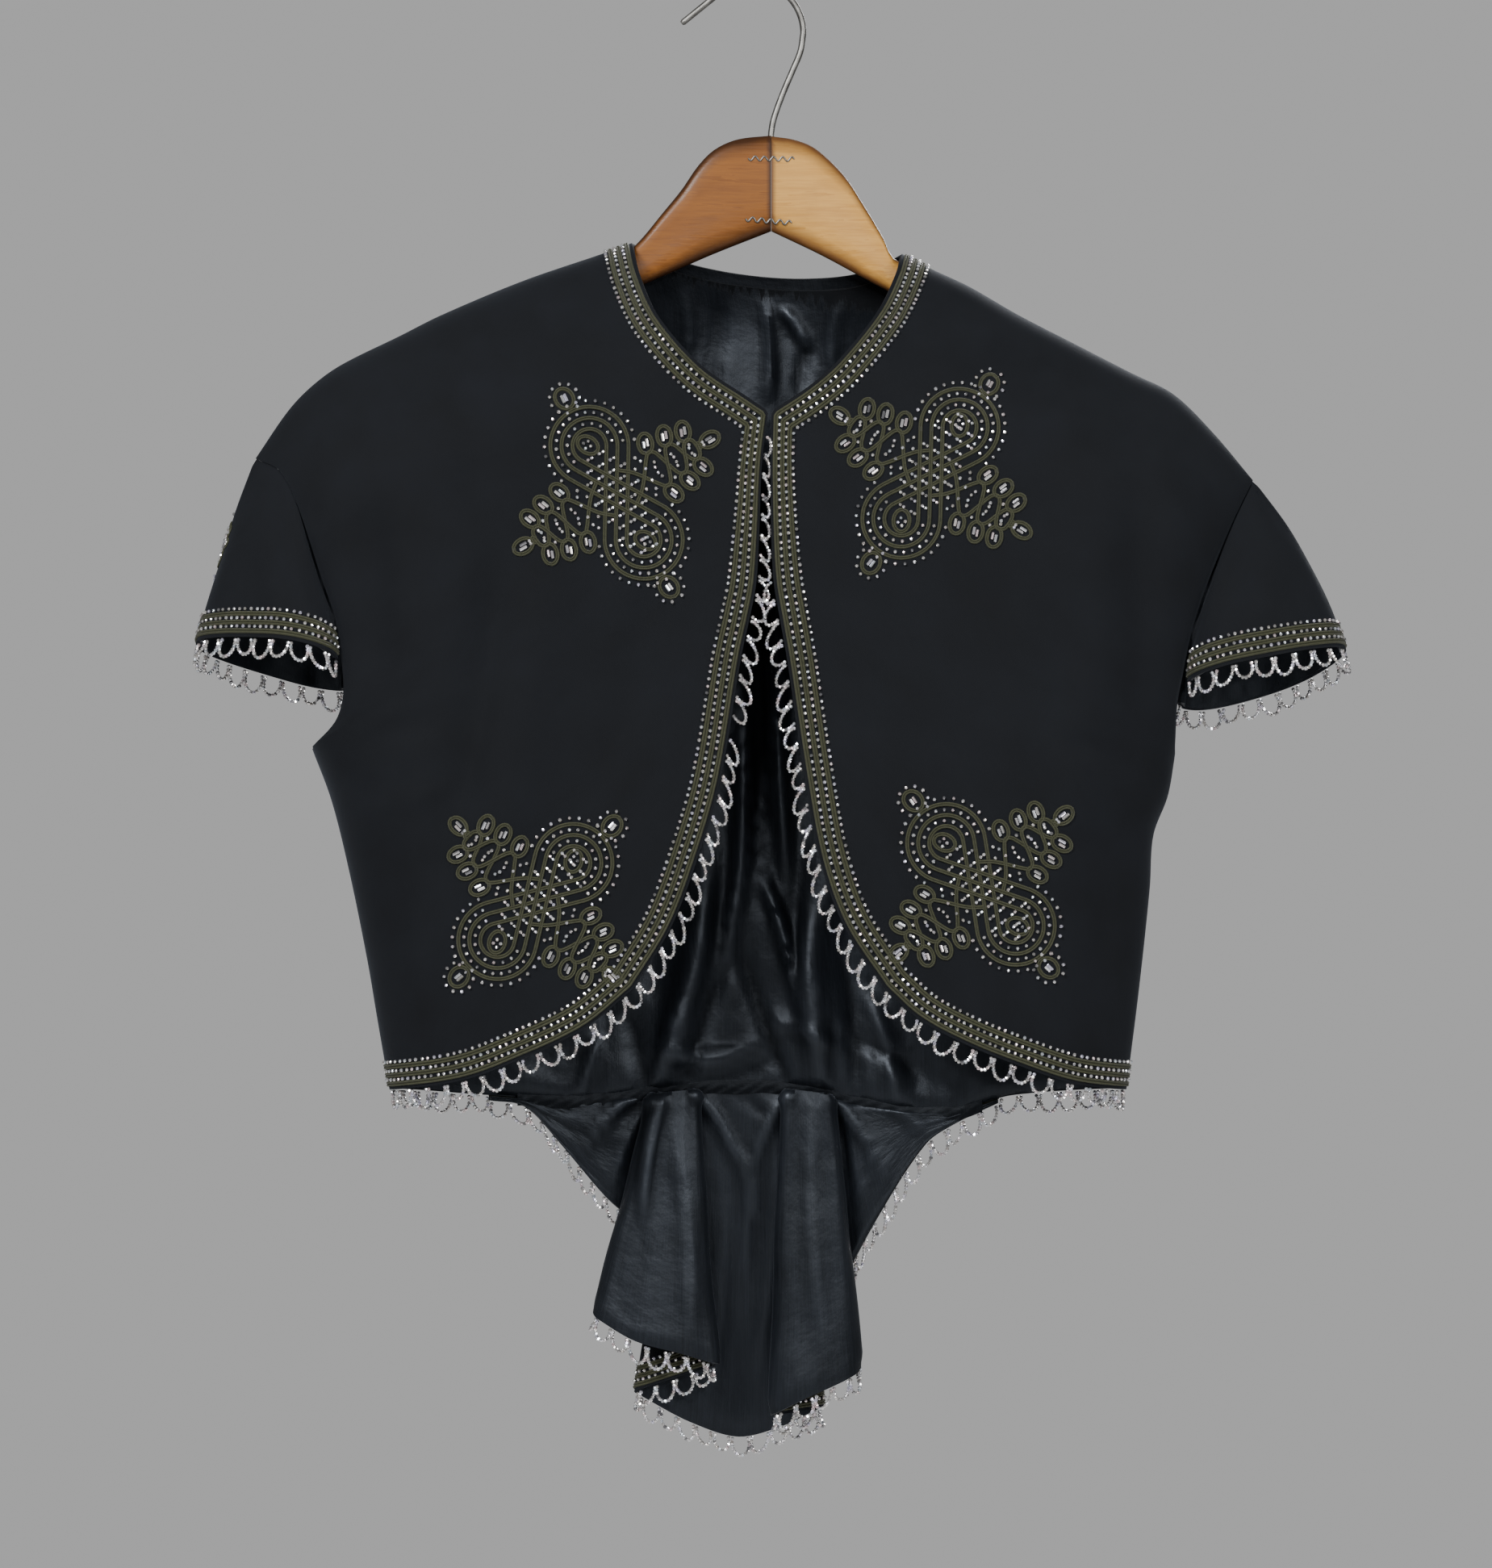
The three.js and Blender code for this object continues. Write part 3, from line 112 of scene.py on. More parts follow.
# ---- outlines seen from the front: each row is (x, z) ----
OUTLINE_ROWS: dict[Side, dict[str, Rows]] = {
    Side.LEFT: {
        "shoulder": [(-68, -147), (-84, -153), (-129, -169), (-175, -189), (-198, -201), (-231, -218),
                     (-247, -230), (-260, -244), (-278, -271)],
        "armhole": [(-278, -271), (-263, -279), (-252, -300), (-239, -339), (-231, -363), (-227, -395),
                    (-228, -409), (-233, -420), (-247, -433)],
        "side": [(-247, -433), (-236, -463), (-226, -504), (-216, -554), (-211, -584), (-204, -625)],
        "neck": [(-68, -147), (-63, -168), (-52, -193), (-29, -220), (-3, -238), (9, -246)],
        "opening": [(9, -246), (5.5, -276), (4, -316), (2.4, -342), (-1.2, -361), (-6, -383), (-17.5, -451),
                    (-30, -494), (-45, -533), (-66, -567)],
        "hem": [(-66, -567), (-93, -589), (-131, -607), (-161, -618), (-204, -625)],
    },
    Side.RIGHT: {
        "shoulder": [(85, -153), (100, -161), (123, -172), (150, -188), (182, -205), (214, -222),
                     (237, -234), (259, -256), (281, -283)],
        "armhole": [(281, -283), (268, -309), (255, -340), (246, -367), (241, -392), (238, -410),
                    (238, -437)],
        "side": [(238, -437), (234, -460), (226, -482), (224, -512), (218, -569), (211, -625)],
        "neck": [(85, -153), (81, -167), (70, -190), (48, -218), (32, -232), (11, -246)],
        "opening": [(11, -246), (10.4, -276), (10.8, -318), (12.2, -342), (15.4, -361), (19.6, -385),
                    (29, -448), (38, -496), (51, -532), (74, -567)],
        "hem": [(74, -567), (93, -584), (119, -598), (149, -610), (179, -620), (211, -625)],
    },
}


@dataclass(frozen=True)
class Crease:
    """A soft ridge (height above nought) or trough along a line from `start` to `end`."""

    start: Pair
    end: Pair
    width: float
    height: float
    bow: float = 0.0


def creases(*rows: Sequence[Pair | float]) -> tuple[Crease, ...]:
    """Creases from rows of start, end, width, height and, where they curve, bow."""
    return tuple(Crease(*row) for row in rows)


FRONT_CREASES = creases(
    ((-140, -330), (-168, -490), 13, -4), ((-112, -340), (-138, -500), 16, 3),
    ((-214, -300), (-206, -400), 13, -5), ((214, -290), (216, -420), 13, -6),
    ((178, -420), (170, -590), 18, 3), ((-142, -352), (-160, -470), 5, -1.6, 3),
    ((-188, -450), (-182, -600), 9, 1.8, -4), ((-228, -440), (-176, -418), 7, -1.9, 3),
    ((-222, -470), (-170, -455), 6, 1.2, -2), ((-60, -350), (-84, -450), 12, -1.4, 4),
    ((-36, -270), (-70, -360), 9, 1.1, -3), ((-168, -215), (-150, -300), 12, -2.0, 5),
    ((-110, -180), (-92, -250), 8, 1.0, 2), ((222, -450), (172, -430), 7, -2.2, -3),
    ((216, -486), (176, -470), 6, 1.1, 2), ((150, -330), (158, -470), 10, -1.8, 4),
    ((58, -360), (80, -450), 11, 1.3, -3), ((196, -500), (192, -600), 7, -1.6, 2),
    ((172, -225), (158, -320), 12, -1.8, -4), ((112, -190), (104, -250), 8, 0.9, 2))
BACK_CREASES = creases(
    ((-120, -300), (-70, -560), 16, 4), ((130, -310), (76, -560), 16, 4),
    ((-26, -480), (-44, -620), 11, -5), ((44, -480), (34, -620), 11, -5),
    ((-210, -420), (-150, -470), 9, -2.4, 4), ((208, -430), (150, -486), 9, -2.6, -4),
    ((-170, -230), (-130, -330), 12, -2.0, 6), ((176, -240), (140, -330), 12, -1.8, -5),
    ((2, -200), (8, -330), 10, -1.5, 3), ((-84, -560), (-96, -630), 8, 1.8, 2),
    ((92, -570), (100, -634), 8, 1.6, -2))
LINING_CREASES = creases(
    ((8, -176), (9, -226), 3.2, 3.0, 1), ((20, -180), (32, -200), 3.0, 2.2, 1),
    ((32, -202), (27, -228), 3.2, -2.0, -1), ((-20, -178), (-26, -232), 5.0, -1.8, 2),
    ((52, -176), (46, -214), 4.5, 1.6, -2), ((-40, -172), (-38, -206), 4.0, 1.4, 1),
    ((4, -300), (2, -470), 5.0, -2.2, 2), ((14, -350), (20, -500), 4.2, 2.6, -2),
    ((-4, -430), (-16, -560), 5.5, 2.4, 3), ((8, -512), (27, -571), 3.4, 2.8, 1),
    ((-3, -556), (20, -622), 3.6, -2.8, -1), ((-28, -520), (-52, -620), 4.4, 3.2, 3),
    ((-16, -560), (-38, -624), 3.8, -2.6, -2), ((36, -530), (40, -624), 4.2, 3.0, -3),
    ((52, -556), (60, -626), 4.4, -2.4, 2), ((70, -580), (84, -634), 4.6, 2.2, 2),
    ((-70, -588), (-60, -630), 4.0, -2.0, 1), ((-88, -600), (-100, -634), 4.6, 2.0, -1),
    ((-48, -606), (4, -600), 3.6, 2.2, -7), ((-44, -618), (14, -612), 3.2, -1.8, -6),
    ((10, -590), (44, -604), 3.4, 1.8, 4), ((56, -600), (92, -618), 3.8, -1.8, 3),
    ((-8, -240), (-60, -330), 9.0, 2.0, 6), ((24, -240), (70, -330), 9.0, -1.8, -6))
TAIL_CREASES = creases(
    ((-55, -624), (-97, -661), 3.4, 2.6, -4), ((-54, -629), (-80, -678), 3.2, 2.2, -3),
    ((-60, -622), (-112, -640), 3.6, -1.8, -2), ((-48, -622), (-62, -700), 3.4, 2.4, -3),
    ((-42, -655), (-36, -767), 5.5, 2.0, 2), ((-60, -690), (-70, -760), 6.0, -1.4, -2),
    ((-40, -622), (-12, -661), 3.2, 2.8, 3), ((-12, -660), (3, -700), 3.4, 2.2, 2),
    ((-34, -618), (4, -640), 3.0, -2.0, 3), ((27, -622), (2, -668), 3.2, 2.6, -3),
    ((2, -666), (-4, -735), 4.0, 1.9, -2), ((15, -655), (6, -780), 4.6, 1.8, 2),
    ((34, -640), (40, -770), 5.0, 1.6, -3), ((36, -622), (76, -676), 3.4, 2.6, 4),
    ((42, -618), (98, -650), 3.4, 2.0, 3), ((52, -640), (57, -715), 3.8, -2.0, 2),
    ((44, -616), (62, -690), 3.0, 1.8, 3), ((-16, -700), (-26, -806), 5.0, 1.5, 2))


# ---- small numeric helpers ----
def ease(t: Array) -> Array:
    """Runs smoothly from 0 to 1."""
    s = np.clip(t, 0.0, 1.0)
    return s * s * (3.0 - 2.0 * s)


def quarter(t: Array) -> Array:
    """Rises from 0 to 1 as a quarter of a circle does."""
    return np.sqrt(np.maximum(1.0 - (1.0 - np.clip(t, 0.0, 1.0)) ** 2, 0.0))


def unit(v: Array) -> Array:
    """The vectors along the last axis, at length 1."""
    return v / np.maximum(np.linalg.norm(v, axis=-1, keepdims=True), 1e-9)


def scatter(count: int, seed: float) -> Array:
    """Evenly mixed values from 0 to 1, the same at every run."""
    return np.mod((np.arange(count) + 1 + seed) * 0.6180339887 + 0.37 * np.sin(seed + np.arange(count)), 1.0)


def travelled(points: Array) -> Array:
    """The length run up to each point of a line."""
    return np.concatenate([[0.0], np.cumsum(np.linalg.norm(np.diff(points, axis=0), axis=1))])


def looked_up(s: Array, run: Array, values: Array) -> Array:
    """The rows of `values`, which belong to the lengths `run`, at the lengths `s`."""
    return np.stack([np.interp(s, run, values[:, k]) for k in range(values.shape[1])], axis=-1)


def curved(t: Array, step: Array, a: Array, b: Array, slope_a: Array, slope_b: Array) -> Array:
    """Points at shares t of a curve `step` long from a to b, which leaves and arrives at the slopes."""
    return ((1 + 2 * t) * (1 - t) ** 2 * a + t * (1 - t) ** 2 * step * slope_a
            + t * t * (3 - 2 * t) * b + t * t * (t - 1) * step * slope_b)


def spaced(length: float, spacing: float, least: int) -> Array:
    """Evenly spaced places along a length, at least so many of them."""
    count = max(int(length / spacing), least)
    return (np.arange(count) + 0.5) * length / count


class Line:
    """A smooth curve through a few rows, run by its length from share 0 to share 1."""

    def __init__(self, rows: Rows, samples: int = 240) -> None:
        """Fits the curve through `rows`."""
        p = np.array(rows, float)
        h = np.linalg.norm(np.diff(p, axis=0), axis=1)
        knots = np.concatenate([[0.0], np.cumsum(h)])
        last = len(p) - 1
        low = np.maximum(np.arange(last + 1) - 1, 0)
        high = np.minimum(np.arange(last + 1) + 1, last)
        slope = (p[high] - p[low]) / (knots[high] - knots[low])[:, None]
        s = np.linspace(0.0, knots[-1], samples + 1)
        i = np.clip(np.searchsorted(knots, s, side="left") - 1, 0, last - 1)
        t = ((s - knots[i]) / h[i])[:, None]
        self.rows = p
        self.points = curved(t, h[i][:, None], p[i], p[i + 1], slope[i], slope[i + 1])
        self.run = travelled(self.points)
        self.length = float(self.run[-1])

    def at(self, share: Array) -> Array:
        """The points at the shares of the curve's length."""
        return looked_up(np.clip(share, 0.0, 1.0) * self.length, self.run, self.points)

    def read(self, value: Array, source: int = 0) -> Array:
        """The other coordinate where coordinate `source` has `value`."""
        a, b = self.points[:, source], self.points[:, 1 - source]
        if a[-1] < a[0]:
            a, b = a[::-1], b[::-1]
        return np.interp(value, a, b)


LINES = {side: {name: Line(rows) for name, rows in parts.items()} for side, parts in OUTLINE_ROWS.items()}
BACK_NECK = Line([(-68, -147), (-33, -156), (-1, -161), (32, -163), (62, -161), (85, -153)])
BACK_WAIST = Line([
    (-204, -625), (-150, -631), (-96, -634), (-59, -630), (-8, -626), (36, -629),
    (52, -633), (86, -640), (116, -641), (132, -636), (151, -631), (211, -625)])


def crease_height(creases: Sequence[Crease], x: Array, z: Array) -> Array:
    """How high the creases stand at (x, z), all together."""
    total = np.zeros(np.broadcast(x, z).shape)
    for c in creases:
        dx, dz = c.end[0] - c.start[0], c.end[1] - c.start[1]
        size = math.hypot(dx, dz)
        along = ((x - c.start[0]) * dx + (z - c.start[1]) * dz) / size**2
        away = ((x - c.start[0]) * dz - (z - c.start[1]) * dx) / size
        away = away + c.bow * np.sin(math.pi * np.clip(along, 0, 1))
        window = ease((along + 0.25) / 0.5) * ease((1.25 - along) / 0.5)
        total = total + c.height * window * np.exp(-((away / c.width) ** 2))
    return total


def seam_dip(distance: Array, depth: float = 0.8, reach: float = 2.2) -> Array:
    """How far cloth sinks beside a seam that pulls it in."""
    return depth * np.exp(-((distance / reach) ** 2))


def pucker(x: Array, z: Array) -> Array:
    """The faint unevenness of hand-sewn cloth that has hung for years."""
    return (0.34 * np.sin(x / 17.0 + 1.3 * np.sin(z / 41.0)) * np.sin(z / 29.0 + 0.7)
            + 0.22 * np.sin((x + 0.6 * z) / 11.3 + 2.1) * np.sin((z - 0.4 * x) / 14.7)
            + 0.12 * np.sin(x / 5.1 + z / 7.9) * np.sin(z / 6.3 - x / 9.1 + 0.4))


class Body:
    """The body's surface: how far the cloth stands before or behind the hanger at each (x, z)."""

    def shoulder_z(self, x: Array) -> Array:
        """The height of the shoulder line, carried on over the open neck."""
        left, right = LINES[Side.LEFT]["shoulder"], LINES[Side.RIGHT]["shoulder"]
        (lx, lz), (rx, rz) = left.rows[0], right.rows[0]
        t = (x - lx) / (rx - lx)
        inside = lz + (rz - lz) * t + NECK_RISE * np.sin(math.pi * np.clip(t, 0, 1))
        return np.where(x < lx, left.read(x), np.where(x > rx, right.read(x), inside))

    def side_x(self, side: Side, z: Array) -> Array:
        """The side seam's x at height z, carried straight up to the shoulder's end."""
        lines = LINES[side]
        (tx, tz), (ux, uz) = lines["armhole"].rows[0], lines["side"].rows[0]
        slanted = ux + (tx - ux) * (z - uz) / (tz - uz)
        return np.where(z > uz, slanted, lines["side"].read(z, 1))

    def middle_y(self, x: Array) -> Array:
        """The line that the shoulders follow, which reaches forward at its ends."""
        return -SWEEP_FORWARD * (np.abs(x - CENTRE_X) / SWEEP_SPAN) ** SWEEP_POWER

    def y(self, x: Array, z: Array, face: Face) -> Array:
        """The cloth's own y at (x, z)."""
        if face is Face.FRONT:
            depth = FRONT_DEPTH - 8 * ease((-460 - z) / 170)
            folds = FRONT_CREASES
        else:
            depth = BACK_DEPTH - 5 * ease((-420 - z) / 180)
            folds = BACK_CREASES
        drop = np.maximum(self.shoulder_z(x) - z, 0)
        roll = ROLL_SHARE * quarter(drop / ROLL_DROP)
        fall = (1 - ROLL_SHARE) * np.sin(math.pi / 2 * np.clip(drop / SHOULDER_REACH, 0, 1))
        across = (quarter((x - self.side_x(Side.LEFT, z)) / SIDE_REACH)
                  * quarter((self.side_x(Side.RIGHT, z) - x) / SIDE_REACH))
        shape = depth + crease_height(folds, x, z) + pucker(x, z)
        return self.middle_y(x) + face.value * (SEAM_GAP / 2 + (roll + fall) * across * shape)

    def point(self, x: Array, z: Array, face: Face) -> Array:
        """The cloth's points at (x, z)."""
        x, z = np.broadcast_arrays(np.asarray(x, float), np.asarray(z, float))
        return np.stack([x, self.y(x, z, face), z], axis=-1)

    def normal(self, x: Array, z: Array, face: Face) -> Array:
        """The cloth's outward normals at (x, z)."""
        step = 0.5
        low = np.minimum(z, self.shoulder_z(x) - 2 * step)
        slope_x = (self.y(x + step, low, face) - self.y(x - step, low, face)) / (2 * step)
        slope_z = (self.y(x, low + step, face) - self.y(x, low - step, face)) / (2 * step)
        return unit(face.value * np.stack([-slope_x, np.ones_like(slope_x), -slope_z], axis=-1))

    def wall_normal(self, x: Array, z: Array, face: Face) -> Array:
        """The normals along which the wall thickens: beside a seam they turn into its plane."""
        normal = self.normal(x, z, face)
        room = np.abs(self.y(x, z, face) - self.middle_y(x)) - SEAM_GAP / 2
        most = np.clip(0.8 * room / WOOL, 0.0, 1.0)
        flat = np.hypot(normal[..., 0], normal[..., 2])
        scale = np.sqrt(1 - most**2) / np.maximum(flat, 1e-6)
        turned = np.stack([normal[..., 0] * scale, face.value * most, normal[..., 2] * scale], axis=-1)
        return np.where((np.abs(normal[..., 1]) <= most)[..., None], normal, turned)

    def lifted(self, x: Array, z: Array, face: Face, lift: Array | float) -> Array:
        """Points that stand `lift` off the cloth's face."""
        return self.point(x, z, face) + self.normal(x, z, face) * np.asarray(lift)[..., None]

    def track(self, x: Array, z: Array, face: Face, lift: float) -> "Track":
        """A line laid `lift` off the cloth's face."""
        return Track(self.lifted(x, z, face, lift), self.normal(x, z, face))

    def kept_in(self, side: Side, x: Array, z: Array) -> Array:
        """The x, held a little inside the side seam."""
        limit = self.side_x(side, z) - side.value * SEAM_KEEP
        return np.maximum(x, limit) if side is Side.LEFT else np.minimum(x, limit)


BODY = Body()


# ---- meshes ----
NO_TRIS = np.zeros((0, 3), int)


def linked(name: str, data: bpy.types.ID) -> bpy.types.Object:
    """A new object in the scene."""
    obj = bpy.data.objects.new(name, data)
    bpy.context.scene.collection.objects.link(obj)
    return obj


class Parts:
    """Gathers bodies into one mesh, with their own coordinates for the finish."""

    def __init__(self) -> None:
        """Starts empty."""
        self.points: list[Array] = []
        self.quads: list[Array] = []
        self.tris: list[Array] = []
        self.uv: list[Array] = []
        self.tint: list[Array] = []
        self.inside: list[Array] = []
        self.count = 0

    def add(self, points: Array, quads: Array, tris: Array = NO_TRIS, uv: Array | None = None,
            tint: Array | None = None, inside: Array | None = None) -> None:
        """Adds one body.

        Args:
            points: its vertices, in millimetres.
            quads: its four-sided faces.
            tris: its three-sided faces.
            uv: two coordinates for each vertex.
            tint: one value for each vertex.
            inside: 1 for each quad that takes the second finish.
        """
        n = len(points)
        self.points.append(points)
        self.quads.append(quads + self.count)
        self.tris.append(tris + self.count)
        self.uv.append(np.zeros((n, 2)) if uv is None else uv)
        self.tint.append(np.full(n, FLAT_TINT) if tint is None else tint)
        self.inside.append(np.zeros(len(self.quads[-1]), int) if inside is None else inside)
        self.count += n

    def join(self, other: "Parts") -> None:
        """Takes in the bodies of another."""
        self.points += other.points
        self.quads += [faces + self.count for faces in other.quads]
        self.tris += [faces + self.count for faces in other.tris]
        self.uv += other.uv
        self.tint += other.tint
        self.inside += other.inside
        self.count += other.count

    def mesh(self, name: str, smooth: bool = True, sharp: float = 40.0) -> bpy.types.Object:
        """Makes the object.

        Args:
            name: the piece's name.
            smooth: whether its faces are shaded as one curved surface.
            sharp: the angle in degrees beyond which an edge stays sharp.

        Returns:
            The new object, linked to the scene.
        """
        points = np.concatenate(self.points)
        quads, tris = np.concatenate(self.quads), np.concatenate(self.tris)
        corners = np.concatenate([quads.ravel(), tris.ravel()]).astype(np.int32)
        starts = np.concatenate([np.arange(len(quads)) * 4, len(quads) * 4 + np.arange(len(tris)) * 3])
        mesh = bpy.data.meshes.new(name)
        mesh.vertices.add(len(points))
        mesh.vertices.foreach_set("co", (points * MM).astype(np.float32).ravel())
        mesh.loops.add(len(corners))
        mesh.loops.foreach_set("vertex_index", corners)
        mesh.polygons.add(len(starts))
        mesh.polygons.foreach_set("loop_start", starts.astype(np.int32))
        mesh.update(calc_edges=True)
        layer = mesh.uv_layers.new(name="UVMap")
        layer.data.foreach_set("uv", np.concatenate(self.uv)[corners].astype(np.float32).ravel())
        tint = mesh.attributes.new("tint", "FLOAT", "POINT")
        tint.data.foreach_set("value", np.concatenate(self.tint).astype(np.float32))
        index = np.concatenate([np.concatenate(self.inside), np.zeros(len(tris), int)])
        mesh.polygons.foreach_set("material_index", index.astype(np.int32))
        mesh.polygons.foreach_set("use_smooth", np.full(len(starts), smooth))
        if smooth:
            mesh.set_sharp_from_angle(angle=math.radians(sharp))
        mesh.validate()
        return linked(name, mesh)


def outward(points: Array, quads: Array, tris: Array) -> tuple[Array, Array]:
    """Turns a closed body's faces so that they look out.

    Args:
        points: the vertices.
        quads: the four-sided faces.
        tris: the three-sided faces.

    Returns:
        The quads and tris, turned where needed.
    """
    split = np.concatenate([quads[:, [0, 1, 2]], quads[:, [0, 2, 3]], tris])
    a, b, c = points[split[:, 0]], points[split[:, 1]], points[split[:, 2]]
    if np.einsum("ij,ij->i", a, np.cross(b, c)).sum() < 0:
        return quads[:, ::-1], tris[:, ::-1]
    return quads, tris


def shell(outer: Array, inner: Array, uv: Array, crests: Array | None = None) -> Parts:
    """A closed wall between two grids of the same size.

    Args:
        outer: the face that takes the first finish, as rows of points.
        inner: the face that takes the second finish.
        uv: two coordinates for each point of a grid.
        crests: the tint of each point of the inner face, which the silk's finish turns into painted shade in
            the creases and a painted highlight on the crests.

    Returns:
        The body, ready for a mesh.
    """
    m, n = outer.shape[:2]
    ids = np.arange(m * n).reshape(m, n)
    a, b, c, d = ids[:-1, :-1].ravel(), ids[1:, :-1].ravel(), ids[1:, 1:].ravel(), ids[:-1, 1:].ravel()
    face = np.stack([a, b, c, d], axis=1)
    back = face[:, ::-1] + m * n
    ring = np.concatenate([ids[0, :], ids[1:, -1], ids[-1, -2::-1], ids[-2:0:-1, 0]])
    after = np.roll(ring, -1)
    rim = np.stack([ring, after, after + m * n, ring + m * n], axis=1)
    points = np.concatenate([outer.reshape(-1, 3), inner.reshape(-1, 3)])
    quads, _ = outward(points, np.concatenate([face, back, rim]), NO_TRIS)
    inside = np.concatenate([np.zeros(len(face), int), np.ones(len(back), int), np.zeros(len(rim), int)])
    tint = None if crests is None else np.concatenate([np.full(crests.size, FLAT_TINT), crests.ravel()])
    parts = Parts()
    parts.add(points, quads, uv=np.tile(uv.reshape(-1, 2), (2, 1)), tint=tint, inside=inside)
    return parts


def bar_faces(rings: int, sides: int, closed: bool = False) -> tuple[Array, Array]:
    """The faces of a bar made of rings of points.

    Args:
        rings: how many rings it has.
        sides: how many points each ring has.
        closed: whether its ends meet, which leaves out the flat ends.

    Returns:
        The quads and tris.
    """
    j, i = np.meshgrid(np.arange(rings if closed else rings - 1), np.arange(sides), indexing="ij")
    here, there = j * sides, (j + 1) % rings * sides
    after = (i + 1) % sides
    quads = np.stack([here + i, here + after, there + after, there + i], axis=-1).reshape(-1, 4)
    if closed:
        return quads, NO_TRIS
    k = np.arange(1, sides - 1)
    end = np.stack([0 * k, k + 1, k], axis=1)
    return quads, np.concatenate([end, end[:, [0, 2, 1]] + (rings - 1) * sides])


def grid_normals(grid: Array, sign: float) -> Array:
    """Unit normals of a grid of points, from its neighbours."""
    across = np.gradient(grid, axis=1)
    down = np.gradient(grid, axis=0)
    return unit(np.cross(across, down) * sign)


def relief(height: Array, grid: Array) -> Array:
    """How a creased grid takes the light: 0 in the creases, 0.5 where it is flat and 1 on the crests."""
    bend = np.zeros(height.shape)
    for axis in (0, 1):
        step = np.maximum(np.linalg.norm(np.gradient(grid, axis=axis), axis=2), 0.3)
        bend = bend + np.gradient(np.gradient(height, axis=axis) / step, axis=axis) / step
    return np.clip(0.5 - 1.3 * bend, 0.0, 1.0)


def grid_uv(grid: Array) -> Array:
    """Coordinates in millimetres along a grid's rows and columns."""
    across = np.linalg.norm(np.diff(grid, axis=1), axis=2).mean(axis=0)
    down = np.linalg.norm(np.diff(grid, axis=0), axis=2).mean(axis=1)
    u = np.concatenate([[0.0], np.cumsum(across)])
    v = np.concatenate([[0.0], np.cumsum(down)])
    return np.stack(np.broadcast_arrays(u[None, :], v[:, None]), axis=-1)


@dataclass
class Track:
    """A line laid on cloth: its points, and the cloth's normals there."""

    points: Array
    normals: Array

    @property
    def along(self) -> Array:
        """Unit directions of travel."""
        return unit(np.gradient(self.points, axis=0))

    @property
    def run(self) -> Array:
        """The length travelled at each point."""
        return travelled(self.points)

    def at(self, s: Array) -> tuple[Array, Array, Array]:
        """Points, directions and normals at the lengths `s`."""
        run = self.run
        point, along, normal = (looked_up(s, run, v) for v in (self.points, self.along, self.normals))
        return point, unit(along), unit(normal)


# An edge gives the line at a distance in from it and a lift; a placing lays a knot's own points on cloth;
# a run is an edge that carries loops: its points, ways out and normals, and what limits the drop.
Edge = Callable[[float, float], Track]
Placing = Callable[[Array, Array, Array | float], tuple[Array, Array]]
Run = tuple[Array, Array, Array, Callable[[Array], Array] | None]


@dataclass(frozen=True)
class Soutache:
    """Flat braid with two ribs and a groove between them."""

    width: float = 2.9
    height: float = 1.15
    step: float = 1.6
    section: tuple[Pair, ...] = (
        (-1.0, 0.0), (-0.93, 0.52), (-0.55, 1.0), (-0.2, 0.8), (0.0, 0.42), (0.2, 0.8), (0.55, 1.0),
        (0.93, 0.52), (1.0, 0.0), (0.0, -0.12))

    def lay(self, parts: Parts, track: Track, closed: bool = False, scale: float = 1.0) -> None:
        """Adds one length of braid along a track.

        Args:
            parts: where the braid goes.
            track: the line that it follows.
            closed: whether its ends meet.
            scale: its size against the full braid.
        """
        run = track.run
        count = max(int(run[-1] / (self.step * max(scale, 0.6))), 8)
        s = np.linspace(0.0, run[-1], count + 1)
        centre, along, normal = track.at(s)
        if closed:
            centre, along, normal = centre[:-1], along[:-1], normal[:-1]
            along = unit(np.roll(centre, -1, axis=0) - np.roll(centre, 1, axis=0))
            s = s[:-1]
        across = unit(np.cross(normal, along))
        up = unit(np.cross(along, across))
        up = np.where((np.einsum("ij,ij->i", up, normal) < 0)[:, None], -up, up)
        section = np.array(self.section) * [self.width / 2 * scale, self.height * scale]
        points = (centre[:, None] + across[:, None] * section[None, :, :1]
                  + up[:, None] * section[None, :, 1:]).reshape(-1, 3)
        quads, tris = outward(points, *bar_faces(len(centre), len(section), closed))
        uv = np.stack(np.broadcast_arrays(s[:, None], section[None, :, 0]), axis=-1).reshape(-1, 2)
        parts.add(points, quads, tris, uv=uv)


@dataclass(frozen=True)
class Bead:
    """A cut glass bead: a short barrel with flat sides."""

    radius: float
    length: float
    sides: int = 7
    rings: tuple[Pair, ...] = ((-0.5, 0.52), (-0.24, 1.0), (0.24, 1.0), (0.5, 0.52))

    def string(self, parts: Parts, centre: Array, along: Array, normal: Array, seed: float) -> None:
        """Adds one bead at each centre, with its hole along `along`.

        Args:
            parts: where the beads go.
            centre: the beads' middles.
            along: the way each hole runs.
            normal: any direction off that way.
            seed: sets the beads' turns, sizes and tints.
        """
        count = len(centre)
        if count == 0:
            return
        across = unit(np.cross(normal, along))
        up = unit(np.cross(along, across))
        turn = scatter(count, seed)[:, None] * 2 * math.pi
        size = 0.92 + 0.16 * scatter(count, seed + 3.7)
        k = 2 * math.pi * np.arange(self.sides)[None, :] / self.sides + turn
        spoke = across[:, None] * np.cos(k)[..., None] + up[:, None] * np.sin(k)[..., None]
        rings = [centre[:, None] + (along * size[:, None] * self.length * at)[:, None]
                 + spoke * (self.radius * share * size)[:, None, None] for at, share in self.rings]
        points = np.stack(rings, axis=1).reshape(-1, 3)
        quad, tri = bar_faces(len(self.rings), self.sides)
        corners = len(self.rings) * self.sides
        base = (np.arange(count) * corners)[:, None, None]
        quads, tris = outward(points, (quad[None] + base).reshape(-1, 4), (tri[None] + base).reshape(-1, 3))
        parts.add(points, quads, tris, tint=np.repeat(scatter(count, seed + 9.1), corners))


